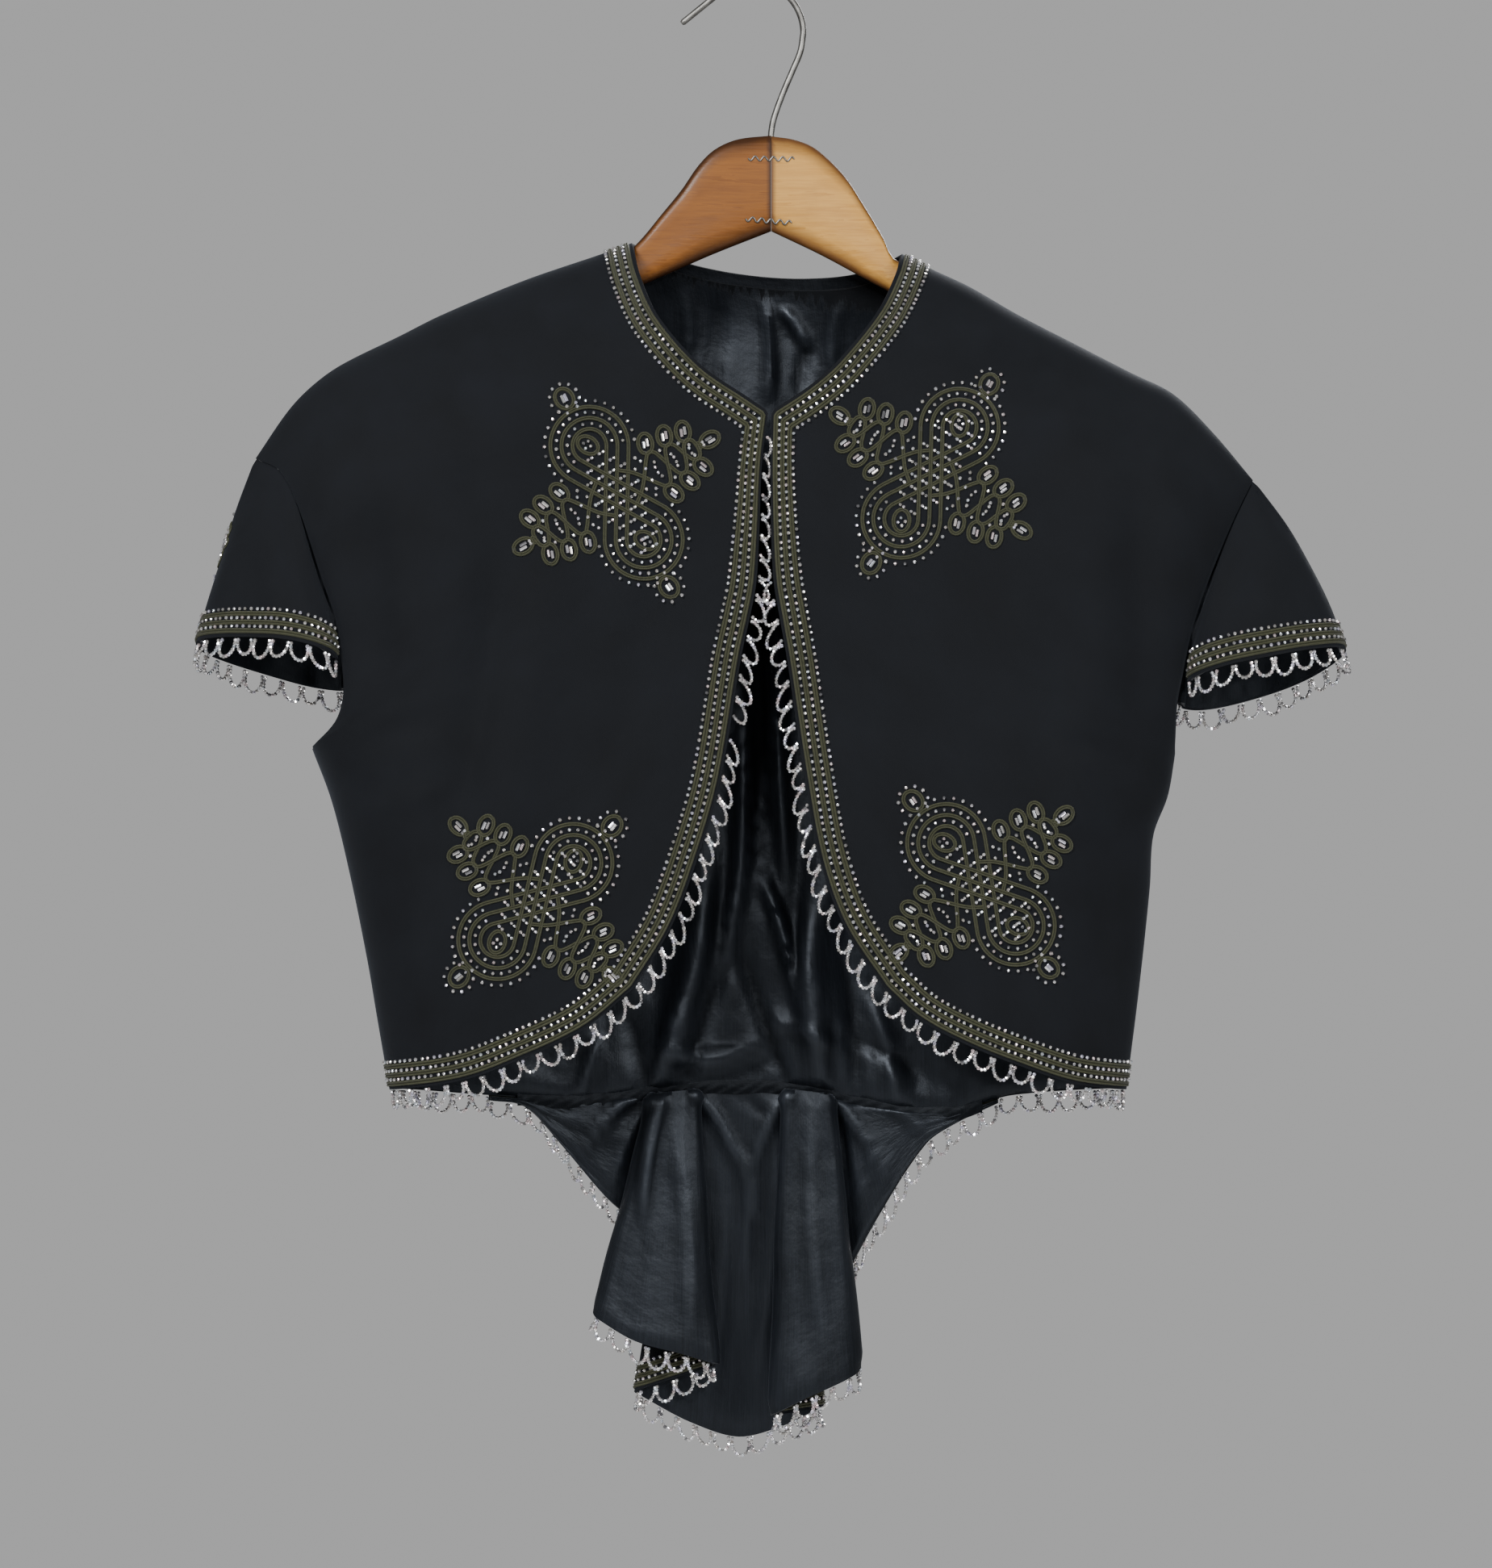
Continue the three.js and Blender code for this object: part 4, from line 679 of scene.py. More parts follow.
SEED_BEAD = Bead(radius=1.0, length=1.7)
STRUNG_BEAD = Bead(radius=1.05, length=1.9, sides=6)
BUGLE = Bead(radius=0.85, length=4.2, sides=6, rings=((-0.5, 0.8), (-0.44, 1.0), (0.44, 1.0), (0.5, 0.8)))
SOUTACHE = Soutache()
BRAID_ROWS = (3.2, 8.1, 13.0)
BEAD_ROWS = (5.65, 10.55, 15.7)
BEAD_SPACING = 3.85
BRAID_LIFT = 0.1
BEAD_LIFT = 0.95
LOOP_PITCH = 11.4
LOOP_DROP = 9.6
SLEEVE_KNOT_DOWN = 78.0
SLEEVE_KNOT_ROUND = 142.45014
SLEEVE_KNOT_SCALE = 0.44


# ---- finishes ----
class Tree:
    """A hand for placing and joining shader nodes in one tree."""

    def __init__(self, tree: NodeTree) -> None:
        """Takes the tree to work in."""
        self.tree = tree

    def feed(self, node: bpy.types.Node, inputs: Inputs) -> None:
        """Gives a node's sockets their values, or joins them to other nodes' sockets."""
        for name, value in inputs.items():
            if isinstance(value, Socket):
                self.tree.links.new(value, node.inputs[name])
            else:
                node.inputs[name].default_value = value

    def add(self, kind: str, inputs: Inputs | None = None, **settings: object) -> bpy.types.Node:
        """Places a node.

        Args:
            kind: the node's type.
            inputs: values, or sockets to join, for its input sockets.
            **settings: the node's own settings.

        Returns:
            The node.
        """
        node = self.tree.nodes.new(kind)
        for name, value in settings.items():
            setattr(node, name, value)
        self.feed(node, inputs or {})
        return node

    def use(self, tree: NodeTree, inputs: dict[str, object]) -> Sockets:
        """Places a shared group and gives its outputs."""
        return self.add("ShaderNodeGroup", inputs, node_tree=tree).outputs

    def math(self, operation: str, a: object, b: object = 0.0, c: object = 0.0) -> Socket:
        """Works out one sum and gives its socket."""
        return self.add("ShaderNodeMath", {0: a, 1: b, 2: c}, operation=operation).outputs[0]

    def linear(self, value: object, times: object, plus: object) -> Socket:
        """The value times one number plus another."""
        return self.math("MULTIPLY_ADD", value, times, plus)

    def held(self, value: Socket) -> Socket:
        """The value kept from 0 to 1."""
        return self.add("ShaderNodeClamp", {0: value}).outputs[0]

    def place(self, kind: str) -> Socket:
        """The point that is shaded, as "UV" along the cloth or as "Object" in the frame."""
        return self.add("ShaderNodeTexCoord").outputs[kind]

    def tint(self) -> Socket:
        """The mesh's own value at each vertex."""
        return self.add("ShaderNodeAttribute", attribute_name="tint").outputs["Fac"]

    def ramp(self, value: Socket, stops: Sequence[tuple[float, Colour]]) -> Socket:
        """Turns a value into a colour through stops of (place, colour)."""
        node = self.add("ShaderNodeValToRGB", {0: value})
        elements = node.color_ramp.elements
        while len(elements) < len(stops):
            elements.new(0.5)
        for element, (place, colour) in zip(elements, stops):
            element.position = place
            element.color = (*colour, 1.0)
        return node.outputs[0]

    def mix(self, share: Socket, first: Socket, second: Colour) -> Socket:
        """Mixes a colour with a plain one."""
        inputs = {0: share, 6: first, 7: (*second, 1.0)}
        return self.add("ShaderNodeMix", inputs, data_type="RGBA").outputs[2]

    def noise(self, vector: Socket, scale: float, detail: float = 3.0, rough: float = 0.55) -> Socket:
        """A soft noise of the given scale."""
        inputs = {"Vector": vector, "Scale": scale, "Detail": detail, "Roughness": rough}
        return self.add("ShaderNodeTexNoise", inputs).outputs[0]

    def streaks(self, vector: Socket, scale: Point, *settings: float) -> Socket:
        """A noise with its own scale along each axis."""
        return self.noise(self.add("ShaderNodeMapping", {0: vector, 3: scale}).outputs[0], *settings)


def group(name: str, inputs: dict[str, float], outputs: Sequence[str],
          build: Callable[[Tree, Sockets], Sockets]) -> NodeTree:
    """Makes a shader group that takes a vector and named values.

    Args:
        name: the group's name.
        inputs: the values that it takes, with what each is at first.
        outputs: the names of the values that it puts out.
        build: places the nodes, and returns the socket for each output.

    Returns:
        The group.
    """
    tree = bpy.data.node_groups.new(name, "ShaderNodeTree")
    tree.interface.new_socket("Vector", in_out="INPUT", socket_type="NodeSocketVector")
    for label, value in inputs.items():
        socket = tree.interface.new_socket(label, in_out="INPUT", socket_type="NodeSocketFloat")
        socket.default_value = value
    for label in outputs:
        tree.interface.new_socket(label, in_out="OUTPUT", socket_type="NodeSocketFloat")
    hand = Tree(tree)
    start = hand.add("NodeGroupInput")
    end = hand.add("NodeGroupOutput")
    hand.feed(end, build(hand, {label: start.outputs[label] for label in ("Vector", *inputs)}))
    return tree


def weave_group() -> NodeTree:
    """Threads that cross over and under: the height of the cloth."""

    def build(hand: Tree, inputs: Sockets) -> Sockets:
        """Places the weave's nodes."""
        loose = hand.math("MULTIPLY", hand.noise(inputs["Vector"], 0.35, 2.0), inputs["Unevenness"])
        axes = hand.add("ShaderNodeSeparateXYZ", {0: inputs["Vector"]})
        turns = hand.math("DIVIDE", 2 * math.pi, inputs["Pitch"])
        waves = [hand.math("SINE", hand.linear(axes.outputs[k], turns, loose)) for k in (0, 1)]
        return {"Height": hand.linear(hand.math("MULTIPLY", *waves), 0.5, 0.5)}

    return group("cloth_weave", {"Pitch": 0.6, "Unevenness": 4.0}, ["Height"], build)


def nap_group() -> NodeTree:
    """Short raised fibres and lint: a height, a fine fleck and broad cloudy wear."""

    def build(hand: Tree, inputs: Sockets) -> Sockets:
        """Places the nap's nodes."""
        fine = hand.noise(inputs["Vector"], 1.9, 5.0, 0.7)
        middle = hand.noise(inputs["Vector"], 0.22, 3.0)
        broad = hand.noise(inputs["Vector"], 0.021, 3.0)
        height = hand.linear(middle, 0.6, hand.math("MULTIPLY", fine, inputs["Fuzz"]))
        return {"Height": height, "Fleck": fine, "Wear": broad}

    return group("cloth_nap", {"Fuzz": 0.5}, ["Height", "Fleck", "Wear"], build)


def plait_group() -> NodeTree:
    """The slanting threads of flat braid, which meet in its groove. Its Shade is a random tone with painted
    shade that is darker in the groove.
    """

    def build(hand: Tree, inputs: Sockets) -> Sockets:
        """Places the plait's nodes."""
        axes = hand.add("ShaderNodeSeparateXYZ", {0: inputs["Vector"]})
        away = hand.math("ABSOLUTE", axes.outputs[1])
        turns = hand.math("DIVIDE", 2 * math.pi, inputs["Pitch"])
        wave = hand.math("SINE", hand.math("MULTIPLY", hand.linear(away, 0.9, axes.outputs[0]), turns))
        # Painted shade: the tone is lowered in the braid's middle groove.
        groove = hand.math("SMOOTH_MIN", away, 0.5, 0.2)
        shade = hand.linear(hand.noise(inputs["Vector"], 0.5, 4.0), 0.7, hand.math("MULTIPLY", groove, 0.7))
        return {"Height": hand.linear(wave, 0.5, 0.5), "Shade": shade}

    return group("braid_plait", {"Pitch": 0.75}, ["Height", "Shade"], build)


def grain_group() -> NodeTree:
    """Wood grain that runs along X, with pores: a tone and a height."""

    def build(hand: Tree, inputs: Sockets) -> Sockets:
        """Places the grain's nodes."""
        rings = hand.streaks(inputs["Vector"], (4.0, 60.0, 60.0), 2.2, 4.0, 0.6)
        bands = hand.math("FRACT", hand.math("MULTIPLY", rings, inputs["Rings"]))
        pores = hand.streaks(inputs["Vector"], (60.0, 900.0, 900.0), 1.0, 2.0, 0.5)
        return {"Tone": hand.linear(bands, 0.45, hand.math("MULTIPLY", pores, 0.7)), "Height": pores}

    return group("wood_grain", {"Rings": 5.0}, ["Tone", "Height"], build)


WEAVE = weave_group()
NAP = nap_group()
PLAIT = plait_group()
GRAIN = grain_group()


def shader(name: str, constants: dict[str, object]) -> tuple[Material, Tree, bpy.types.Node]:
    """Starts a material whose shader holds `constants`.

    Args:
        name: the material's name.
        constants: values for the shader's own sockets.

    Returns:
        The material, a hand in its tree, and its shader.
    """
    material = bpy.data.materials.new(name)
    material.use_nodes = True
    hand = Tree(material.node_tree)
    node = material.node_tree.nodes["Principled BSDF"]
    hand.feed(node, constants)
    return material, hand, node


def bump(hand: Tree, height: Socket, strength: float, distance: float) -> Socket:
    """A normal that follows a height."""
    inputs = {"Height": height, "Strength": strength, "Distance": distance}
    return hand.add("ShaderNodeBump", inputs).outputs[0]


@dataclass(frozen=True)
class Woollen:
    """Fine black wool with a felted face."""

    name: str = "black_wool"
    deep: Colour = (0.0036, 0.0042, 0.0056)
    worn: Colour = (0.0078, 0.009, 0.0118)
    pitch: float = 0.62

    def material(self) -> Material:
        """Builds the finish."""
        material, hand, node = shader(self.name, {
            "Specular IOR Level": 0.16, "Sheen Weight": 0.1, "Sheen Roughness": 0.45,
            "Sheen Tint": (0.55, 0.62, 0.75, 1.0)})
        uv = hand.place("UV")
        nap = hand.use(NAP, {"Vector": uv, "Fuzz": 0.7})
        weave = hand.use(WEAVE, {"Vector": uv, "Pitch": self.pitch, "Unevenness": 5.0})
        tone = hand.linear(nap["Wear"], 0.7, hand.math("MULTIPLY", nap["Fleck"], 0.5))
        height = hand.linear(weave["Height"], 0.35, nap["Height"])
        hand.feed(node, {"Base Color": hand.ramp(tone, [(0.38, self.deep), (0.78, self.worn)]),
                         "Roughness": hand.linear(nap["Wear"], 0.2, 0.72),
                         "Normal": bump(hand, height, 0.45, 0.00045)})
        return material


@dataclass(frozen=True)
class Satin:
    """Black silk satin, creased and worn."""

    name: str = "black_silk"
    deep: Colour = (0.004, 0.0048, 0.006)
    worn: Colour = (0.0125, 0.0148, 0.0195)
    ground: Colour = (0.002, 0.0021, 0.0025)
    roughness: float = 0.34
    perished: bool = False

    def material(self) -> Material:
        """Builds the finish. The mesh's `tint` is 0 in the creases, 0.5 on flat silk and 1 on crests; it
        scales the colour as painted shade in the creases and a painted highlight on the crests, and lowers
        the specular level in the creases.
        """
        material, hand, node = shader(self.name, {
            "Specular Tint": (0.8, 0.88, 1.0, 1.0), "Sheen Weight": 0.1, "Sheen Roughness": 0.35,
            "Sheen Tint": (0.6, 0.68, 0.8, 1.0)})
        uv = hand.place("UV")
        nap = hand.use(NAP, {"Vector": uv, "Fuzz": 0.25})
        streaks = hand.streaks(uv, (1.6, 0.045, 1.0), 1.0, 4.0)
        crumple = hand.noise(uv, 0.055, 4.0, 0.55)
        crest = hand.tint()
        tone = hand.linear(nap["Wear"], 0.55, hand.math("MULTIPLY", streaks, 0.5))
        colour = hand.ramp(tone, [(0.36, self.deep), (0.72, self.worn)])
        # Painted shade and highlight: the colour is darkened in the creases and lightened on the crests.
        painted_shade_and_highlight = {0: colour, 3: hand.linear(crest, 1.5, 0.25)}
        colour = hand.add("ShaderNodeVectorMath", painted_shade_and_highlight, operation="SCALE").outputs[0]
        rough = hand.linear(streaks, 0.1, hand.linear(crumple, 0.2, self.roughness - 0.08))
        if self.perished:
            split = self.split(hand)
            colour = hand.mix(split, colour, self.ground)
            rough = hand.linear(split, 0.5, rough)
        height = hand.linear(crumple, 1.7, hand.math("MULTIPLY", streaks, 0.14))
        hand.feed(node, {"Base Color": colour, "Roughness": rough,
                         "Specular IOR Level": hand.linear(crest, 0.44, 0.08),
                         "Normal": bump(hand, height, 0.5, 0.0011)})
        return material

    def split(self, hand: Tree) -> Socket:
        """Where the silk has split along the back neck and shows the dark ground under it."""
        place = hand.place("Object")
        spread = hand.add("ShaderNodeSeparateXYZ", {0: place}).outputs
        level = hand.linear(spread["X"], 0.17, spread["Z"])
        frayed = hand.streaks(place, (320.0, 1.0, 60.0), 1.0, 5.0, 0.7)
        reach = hand.linear(frayed, 0.034, hand.math("ADD", level, 0.156))
        return hand.held(hand.math("MULTIPLY", reach, 260.0))


@dataclass(frozen=True)
class Braided:
    """Olive silk braid, with painted shade in its groove and where its threads dip."""

    name: str = "olive_braid"
    shade: Colour = (0.0125, 0.0135, 0.0072)
    light: Colour = (0.06, 0.0625, 0.033)

    def material(self) -> Material:
        """Builds the finish."""
        material, hand, node = shader(self.name, {
            "Specular IOR Level": 0.3, "Sheen Weight": 0.12, "Sheen Roughness": 0.4})
        plait = hand.use(PLAIT, {"Vector": hand.place("UV"), "Pitch": 0.72})
        # Painted shade: the colour is darker where the threads dip and in the groove, over a random tone.
        tone = hand.linear(plait["Height"], 0.25, plait["Shade"])
        hand.feed(node, {"Base Color": hand.ramp(tone, [(0.25, self.shade), (0.95, self.light)]),
                         "Roughness": hand.linear(plait["Shade"], 0.2, 0.48),
                         "Normal": bump(hand, plait["Height"], 0.55, 0.00022)})
        return material


@dataclass(frozen=True)
class Glass:
    """Silvered glass beads: each has a slightly different tint and brightness."""

    name: str = "silvered_glass"
    roughness: float = 0.12
    tints: tuple[tuple[float, Colour], ...] = (
        (0.0, (0.30, 0.30, 0.32)), (0.2, (0.86, 0.83, 0.80)), (0.45, (0.93, 0.92, 0.94)),
        (0.62, (0.78, 0.84, 0.90)), (0.74, (0.95, 0.80, 0.82)), (0.84, (0.62, 0.60, 0.56)),
        (0.93, (0.80, 0.78, 0.95)), (1.0, (0.95, 0.94, 0.92)))

    def material(self) -> Material:
        """Builds the finish."""
        material, hand, node = shader(self.name, {
            "Metallic": 0.82, "Specular IOR Level": 0.6, "Coat Weight": 1.0, "Coat Roughness": 0.05})
        tint = hand.tint()
        hand.feed(node, {"Base Color": hand.ramp(tint, self.tints),
                         "Roughness": hand.linear(tint, 0.12, self.roughness)})
        return material


@dataclass(frozen=True)
class Varnished:
    """Varnished hanger wood with darkened rims."""

    name: str
    dark: Colour
    light: Colour
    rim: Colour

    def material(self) -> Material:
        """Builds the finish. The mesh's `tint` runs from 0 on the faces to 1 on the rounded rims and where
        the halves meet; with a little noise it darkens the colour towards `rim` there.
        """
        material, hand, node = shader(self.name, {
            "Specular IOR Level": 0.25, "Coat Weight": 0.08, "Coat Roughness": 0.18})
        place = hand.place("Object")
        grain = hand.use(GRAIN, {"Vector": place, "Rings": 5.0})
        wood = hand.ramp(grain["Tone"], [(0.15, self.dark), (0.85, self.light)])
        rim_and_joint_darkening = hand.linear(hand.noise(place, 46.0, 3.0), 0.5, hand.math("SUBTRACT", hand.tint(), 0.25))
        share = hand.held(hand.math("MULTIPLY", rim_and_joint_darkening, 1.1))
        hand.feed(node, {"Base Color": hand.mix(share, wood, self.rim),
                         "Roughness": hand.linear(grain["Tone"], 0.16, 0.3),
                         "Normal": bump(hand, grain["Height"], 0.25, 0.0003)})
        return material


@dataclass(frozen=True)
class Steel:
    """Drawn wire that has gone dull."""

    name: str = "dull_steel"
    bright: Colour = (0.27, 0.265, 0.25)
    dull: Colour = (0.17, 0.165, 0.155)

    def material(self) -> Material:
        """Builds the finish."""
        material, hand, node = shader(self.name, {"Metallic": 1.0})
        place = hand.place("Object")
        spots = hand.noise(place, 210.0, 4.0, 0.65)
        scratches = hand.streaks(place, (900.0, 900.0, 60.0), 1.0)
        hand.feed(node, {"Base Color": hand.ramp(spots, [(0.35, self.dull), (0.62, self.bright)]),
                         "Roughness": hand.linear(spots, 0.2, 0.34),
                         "Normal": bump(hand, scratches, 0.08, 0.00004)})
        return material


class Finishes:
    """Every finish of the shrug and its hanger, each built once."""

    def __init__(self) -> None:
        """Builds the materials."""
        self.wool = Woollen().material()
        self.silk = Satin().material()
        self.facing = Satin(name="black_facing", roughness=0.5).material()
        self.split_silk = Satin(name="split_silk", perished=True).material()
        self.braid = Braided().material()
        self.bead = Glass().material()
        # The two halves are copies of one varnished wood: the left is painted darker as shade and the right
        # lighter as light, standing in for how the light falls on their mirrored grain.
        self.wood_left = Varnished(
            "painted_shade_wood", (0.17, 0.054, 0.006), (0.245, 0.085, 0.010), (0.045, 0.017, 0.006)).material()
        self.wood_right = Varnished(
            "painted_light_wood", (0.48, 0.225, 0.038), (0.62, 0.325, 0.072), (0.13, 0.055, 0.018)).material()
        self.steel = Steel().material()


FINISHES = Finishes()


def dress(piece: bpy.types.Object, slot: str, replaced: Sequence[str],
          *materials: Material) -> None:
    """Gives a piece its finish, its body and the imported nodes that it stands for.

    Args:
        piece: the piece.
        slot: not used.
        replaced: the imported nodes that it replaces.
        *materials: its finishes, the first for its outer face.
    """
    for material in materials:
        piece.data.materials.append(material)
    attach(piece, "root")
    if replaced:
        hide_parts(*replaced)
    log.info("%s: %d faces", piece.name, len(piece.data.polygons))


def finish_trimming(name: str, replaced: str, braid: Parts, beads: Parts) -> None:
    """Makes the two pieces of a trimming: its braid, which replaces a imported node, and its beads."""
    dress(braid.mesh(name, sharp=60), "braid", (replaced,), FINISHES.braid)
    dress(beads.mesh(f"{name}_beads", smooth=False), "bead", (), FINISHES.bead)


# ---- edges ----
def plan_offset(points: Array, turn: float, distance: Array | float) -> Array:
    """Moves a plan line sideways.

    Args:
        points: the line's points in the plan.
        turn: 1 to move to the right of its direction, -1 to the left.
        distance: how far, for all the points or for each.

    Returns:
        The moved points.
    """
    along = unit(np.gradient(points, axis=0))
    return points + np.stack([along[:, 1], -along[:, 0]], axis=-1) * turn * distance


def joined(first: Array, second: Array) -> Array:
    """Joins two plan lines where they cross or come closest, as a mitre does."""
    gap = np.linalg.norm(first[:, None] - second[None], axis=-1)
    gap[:, len(second) // 2:] += 1e3
    gap[: len(first) // 2] += 1e3
    i, j = np.unravel_index(np.argmin(gap), gap.shape)
    return np.concatenate([first[: i + 1], second[j + 1:]])


def resampled(points: Array, step: float) -> Array:
    """The same line with its points about `step` apart."""
    run = travelled(points)
    return looked_up(np.linspace(0.0, run[-1], max(int(run[-1] / step), 4) + 1), run, points)


@dataclass(frozen=True)
class Border:
    """Three rows of braid with three rows of beads beside them, along one edge."""

    name: str
    replaced: str
    seed: float

    def build(self, edge: Edge) -> None:
        """Makes the border's braid and beads along the edge."""
        braid, beads = Parts(), Parts()
        for distance in BRAID_ROWS:
            SOUTACHE.lay(braid, edge(distance, BRAID_LIFT))
        for row, distance in enumerate(BEAD_ROWS):
            track = edge(distance, BEAD_LIFT)
            length = track.run[-1]
            s = spaced(length, BEAD_SPACING, 2)
            loose = (scatter(len(s), self.seed + row) - 0.5) * 0.9
            s = np.clip(s + loose, 0.3, length - 0.3)
            SEED_BEAD.string(beads, *track.at(s), self.seed + 5 * row)
        finish_trimming(self.name, self.replaced, braid, beads)


@dataclass(frozen=True)
class Loops:
    """Strung beads that hang from an edge in small loops."""

    name: str
    replaced: tuple[str, ...]
    seed: float
    missing: tuple[int, ...] = ()
    sag: float = 0.22
    bead_pitch: float = 1.8

    def build(self, runs: Sequence[Run]) -> None:
        """Makes the loops.

        Args:
            runs: the edges that carry them.
        """
        beads = Parts()
        for number, (points, outs, normals, most) in enumerate(runs):
            run = travelled(points)
            count = max(int(round(run[-1] / LOOP_PITCH)), 1)
            pitch = run[-1] / count
            for k in range(count):
                if number == 0 and k in self.missing:
                    continue
                vary = scatter(4, self.seed + 1.7 * k + 31 * number)
                pinch = 0.32 + 0.3 * vary[0]
                theta = np.linspace(-pinch, math.pi + pinch, 40)
                width = 0.4 + 0.06 * vary[2]
                skew = (vary[1] - 0.5) * 2.6
                s = (k + 0.5 - width * np.cos(theta)) * pitch + skew * np.sin(theta)
                base, out, normal = (looked_up(s, run, values) for values in (points, outs, normals))
                down = unit(unit(out) + np.array([0.0, 0.0, -self.sag]))
                drop = LOOP_DROP * (0.86 + 0.3 * vary[2])
                if most is not None:
                    drop = np.clip(np.minimum(drop, most(base)), 1.5, None)
                deep = (np.sin(theta) + math.sin(pinch)) / (1 + math.sin(pinch)) * drop
                sway = (vary[3] - 0.5) * 2.2 * np.sin(theta)
                path = base + down * (0.9 + deep)[:, None] + unit(normal) * (sway - 0.6)[:, None]
                thread = Track(path, normal)
                hung = thread.at(spaced(thread.run[-1], self.bead_pitch, 3))
                STRUNG_BEAD.string(beads, *hung, self.seed + 0.61 * k + 13 * number)
        dress(beads.mesh(self.name, smooth=False), "bead", self.replaced, FINISHES.bead)


# ---- the fronts ----
def run_down(first: Line, second: Line, corner: float, v: Array) -> Array:
    """Points at shares v down two lines, one after the other, which meet at the share `corner`."""
    upper, lower = first.at(v / corner), second.at((v - corner) / (1 - corner))
    return np.where((v <= corner)[..., None], upper, lower)


def patch(top: Array, bottom: Array, first: Array, last: Array, u: Array, v: Array) -> Array:
    """Fills the plan between four edges, at shares u from first to last and v from top to bottom."""
    u, v = u[..., None], v[..., None]
    corners = ((top[..., :1, :] * (1 - u) + top[..., -1:, :] * u) * (1 - v)
               + (bottom[..., :1, :] * (1 - u) + bottom[..., -1:, :] * u) * v)
    return top * (1 - v) + bottom * v + first * (1 - u) + last * u - corners


@dataclass
class FrontPanel:
    """One front: a wall of wool with a black facing, its border and loops; its two knots are laid by
    `KnotPlace`.
    """

    side: Side
    flat: Pair
    area: float
    missing_loops: tuple[int, ...] = ()
    columns: int = 72
    rows: int = 128

    @property
    def turn(self) -> float:
        """1 where the cloth is to the right of the edge's direction."""
        return -float(self.side.value)

    def plan(self) -> Array:
        """The panel's points in the plan, closer together at its edges."""
        lines = LINES[self.side]
        u = (1 - (1 - np.linspace(0, 1, self.columns + 1)) ** 1.7)[None, :]
        v = (np.linspace(0, 1, self.rows + 1) ** 1.35)[:, None]
        inner = run_down(lines["neck"], lines["opening"], NECK_SHARE, v)
        outer = run_down(lines["armhole"], lines["side"], UNDERARM_SHARE, v)
        return patch(lines["shoulder"].at(u), lines["hem"].at(u), inner, outer, u, v)

    def edge_line(self, distance: float, lift: float, opening_only: bool = False) -> Track:
        """The line `distance` in from the neck, opening and hem, on the cloth."""
        lines = LINES[self.side]
        neck = plan_offset(lines["neck"].points, self.turn, distance)
        after = np.concatenate([lines["opening"].points, lines["hem"].points[1:]])
        after = resampled(after, 1.5)
        close = 1 - SQUEEZE * ease((after[:, 1:] - SQUEEZE_FROM) / SQUEEZE_SPAN)
        after = plan_offset(after, self.turn, distance * close)
        points = after if opening_only else joined(resampled(neck, 0.5), resampled(after, 0.5))
        points = resampled(points, BORDER_STEP)
        x, z = points[:, 0], points[:, 1]
        z = np.minimum(z, BODY.shoulder_z(x) - SHOULDER_KEEP)
        return BODY.track(BODY.kept_in(self.side, x, z), z, Face.FRONT, lift)

    def build(self) -> None:
        """Makes the panel, its border and its loops."""
        plan = self.plan()
        x, z = plan[..., 0], plan[..., 1]
        outer = BODY.point(x, z, Face.FRONT)
        way = BODY.wall_normal(x, z, Face.FRONT)
        inner = outer - way * WOOL
        seam = np.linalg.norm(np.diff(outer, axis=1), axis=2)[:, ::-1].cumsum(axis=1)[:, ::-1]
        held = ease(np.linspace(0, 1, self.rows + 1) / 0.35)[:, None]
        outer = outer - way * (held * seam_dip(np.pad(seam, ((0, 0), (0, 1)))))[..., None]
        word = self.side.word
        panel = shell(outer, inner, grid_uv(outer)).mesh(f"wool_front_{word}")
        dress(panel, "wool", (f"front_{word}",), FINISHES.wool, FINISHES.facing)
        Border(f"braid_front_{word}", f"border_front_{word}", 1.0 + self.side.value).build(self.edge_line)
        points, outs, normals = self.bare()
        start = np.searchsorted(Track(points, normals).run, 13.0)
        loops = Loops(f"loops_front_{word}", (f"swags_front_{word}",), 2.3 + self.side.value,
                      self.missing_loops, 0.42)
        loops.build([(points[start:], outs[start:], normals[start:], self.room)])

    def bare(self) -> tuple[Array, Array, Array]:
        """The opening's and hem's bare edge, with the ways out of it and the normals."""
        edge = self.edge_line(0.0, -0.6, True)
        inside = self.edge_line(3.0, -0.6, True)
        step = np.linspace(0, 1, len(edge.points))
        other = looked_up(step, np.linspace(0, 1, len(inside.points)), inside.points)
        return edge.points, unit(edge.points - other), edge.normals

    def room(self, points: Array) -> Array:
        """How far a loop may reach into the opening at these points."""
        z = points[..., 2]
        half = (LINES[Side.RIGHT]["opening"].read(z, 1) - LINES[Side.LEFT]["opening"].read(z, 1)) / 2
        alone = ease((z + 352) / 14) * (self.side is Side.LEFT)
        return np.where(z < -520, 20.0, half * (1 + 0.9 * alone) + 1.0 - alone)


# ---- knots ----
# The short beads between a leaf's plaits: how far out, how far along, and the length of the row.
LEAF_BEADS: Rows = (
    (0.0, 13.6, 2.0), (1.7, 25.6, 3.6), (3.6, 36.9, 3.6), (1.5, 37.4, 3.6), (1.6, 47.2, 2.2),
    (8.6, 20.2, 3.6), (8.4, 32.4, 2.2), (6.7, 43.2, 2.2), (4.4, 26.6, 3.6), (0.9, 55.2, 1.2),
    (6.2, 15.4, 2.2), (11.6, 18.4, 2.2), (3.6, 20.6, 2.0), (3.2, 48.0, 2.0))


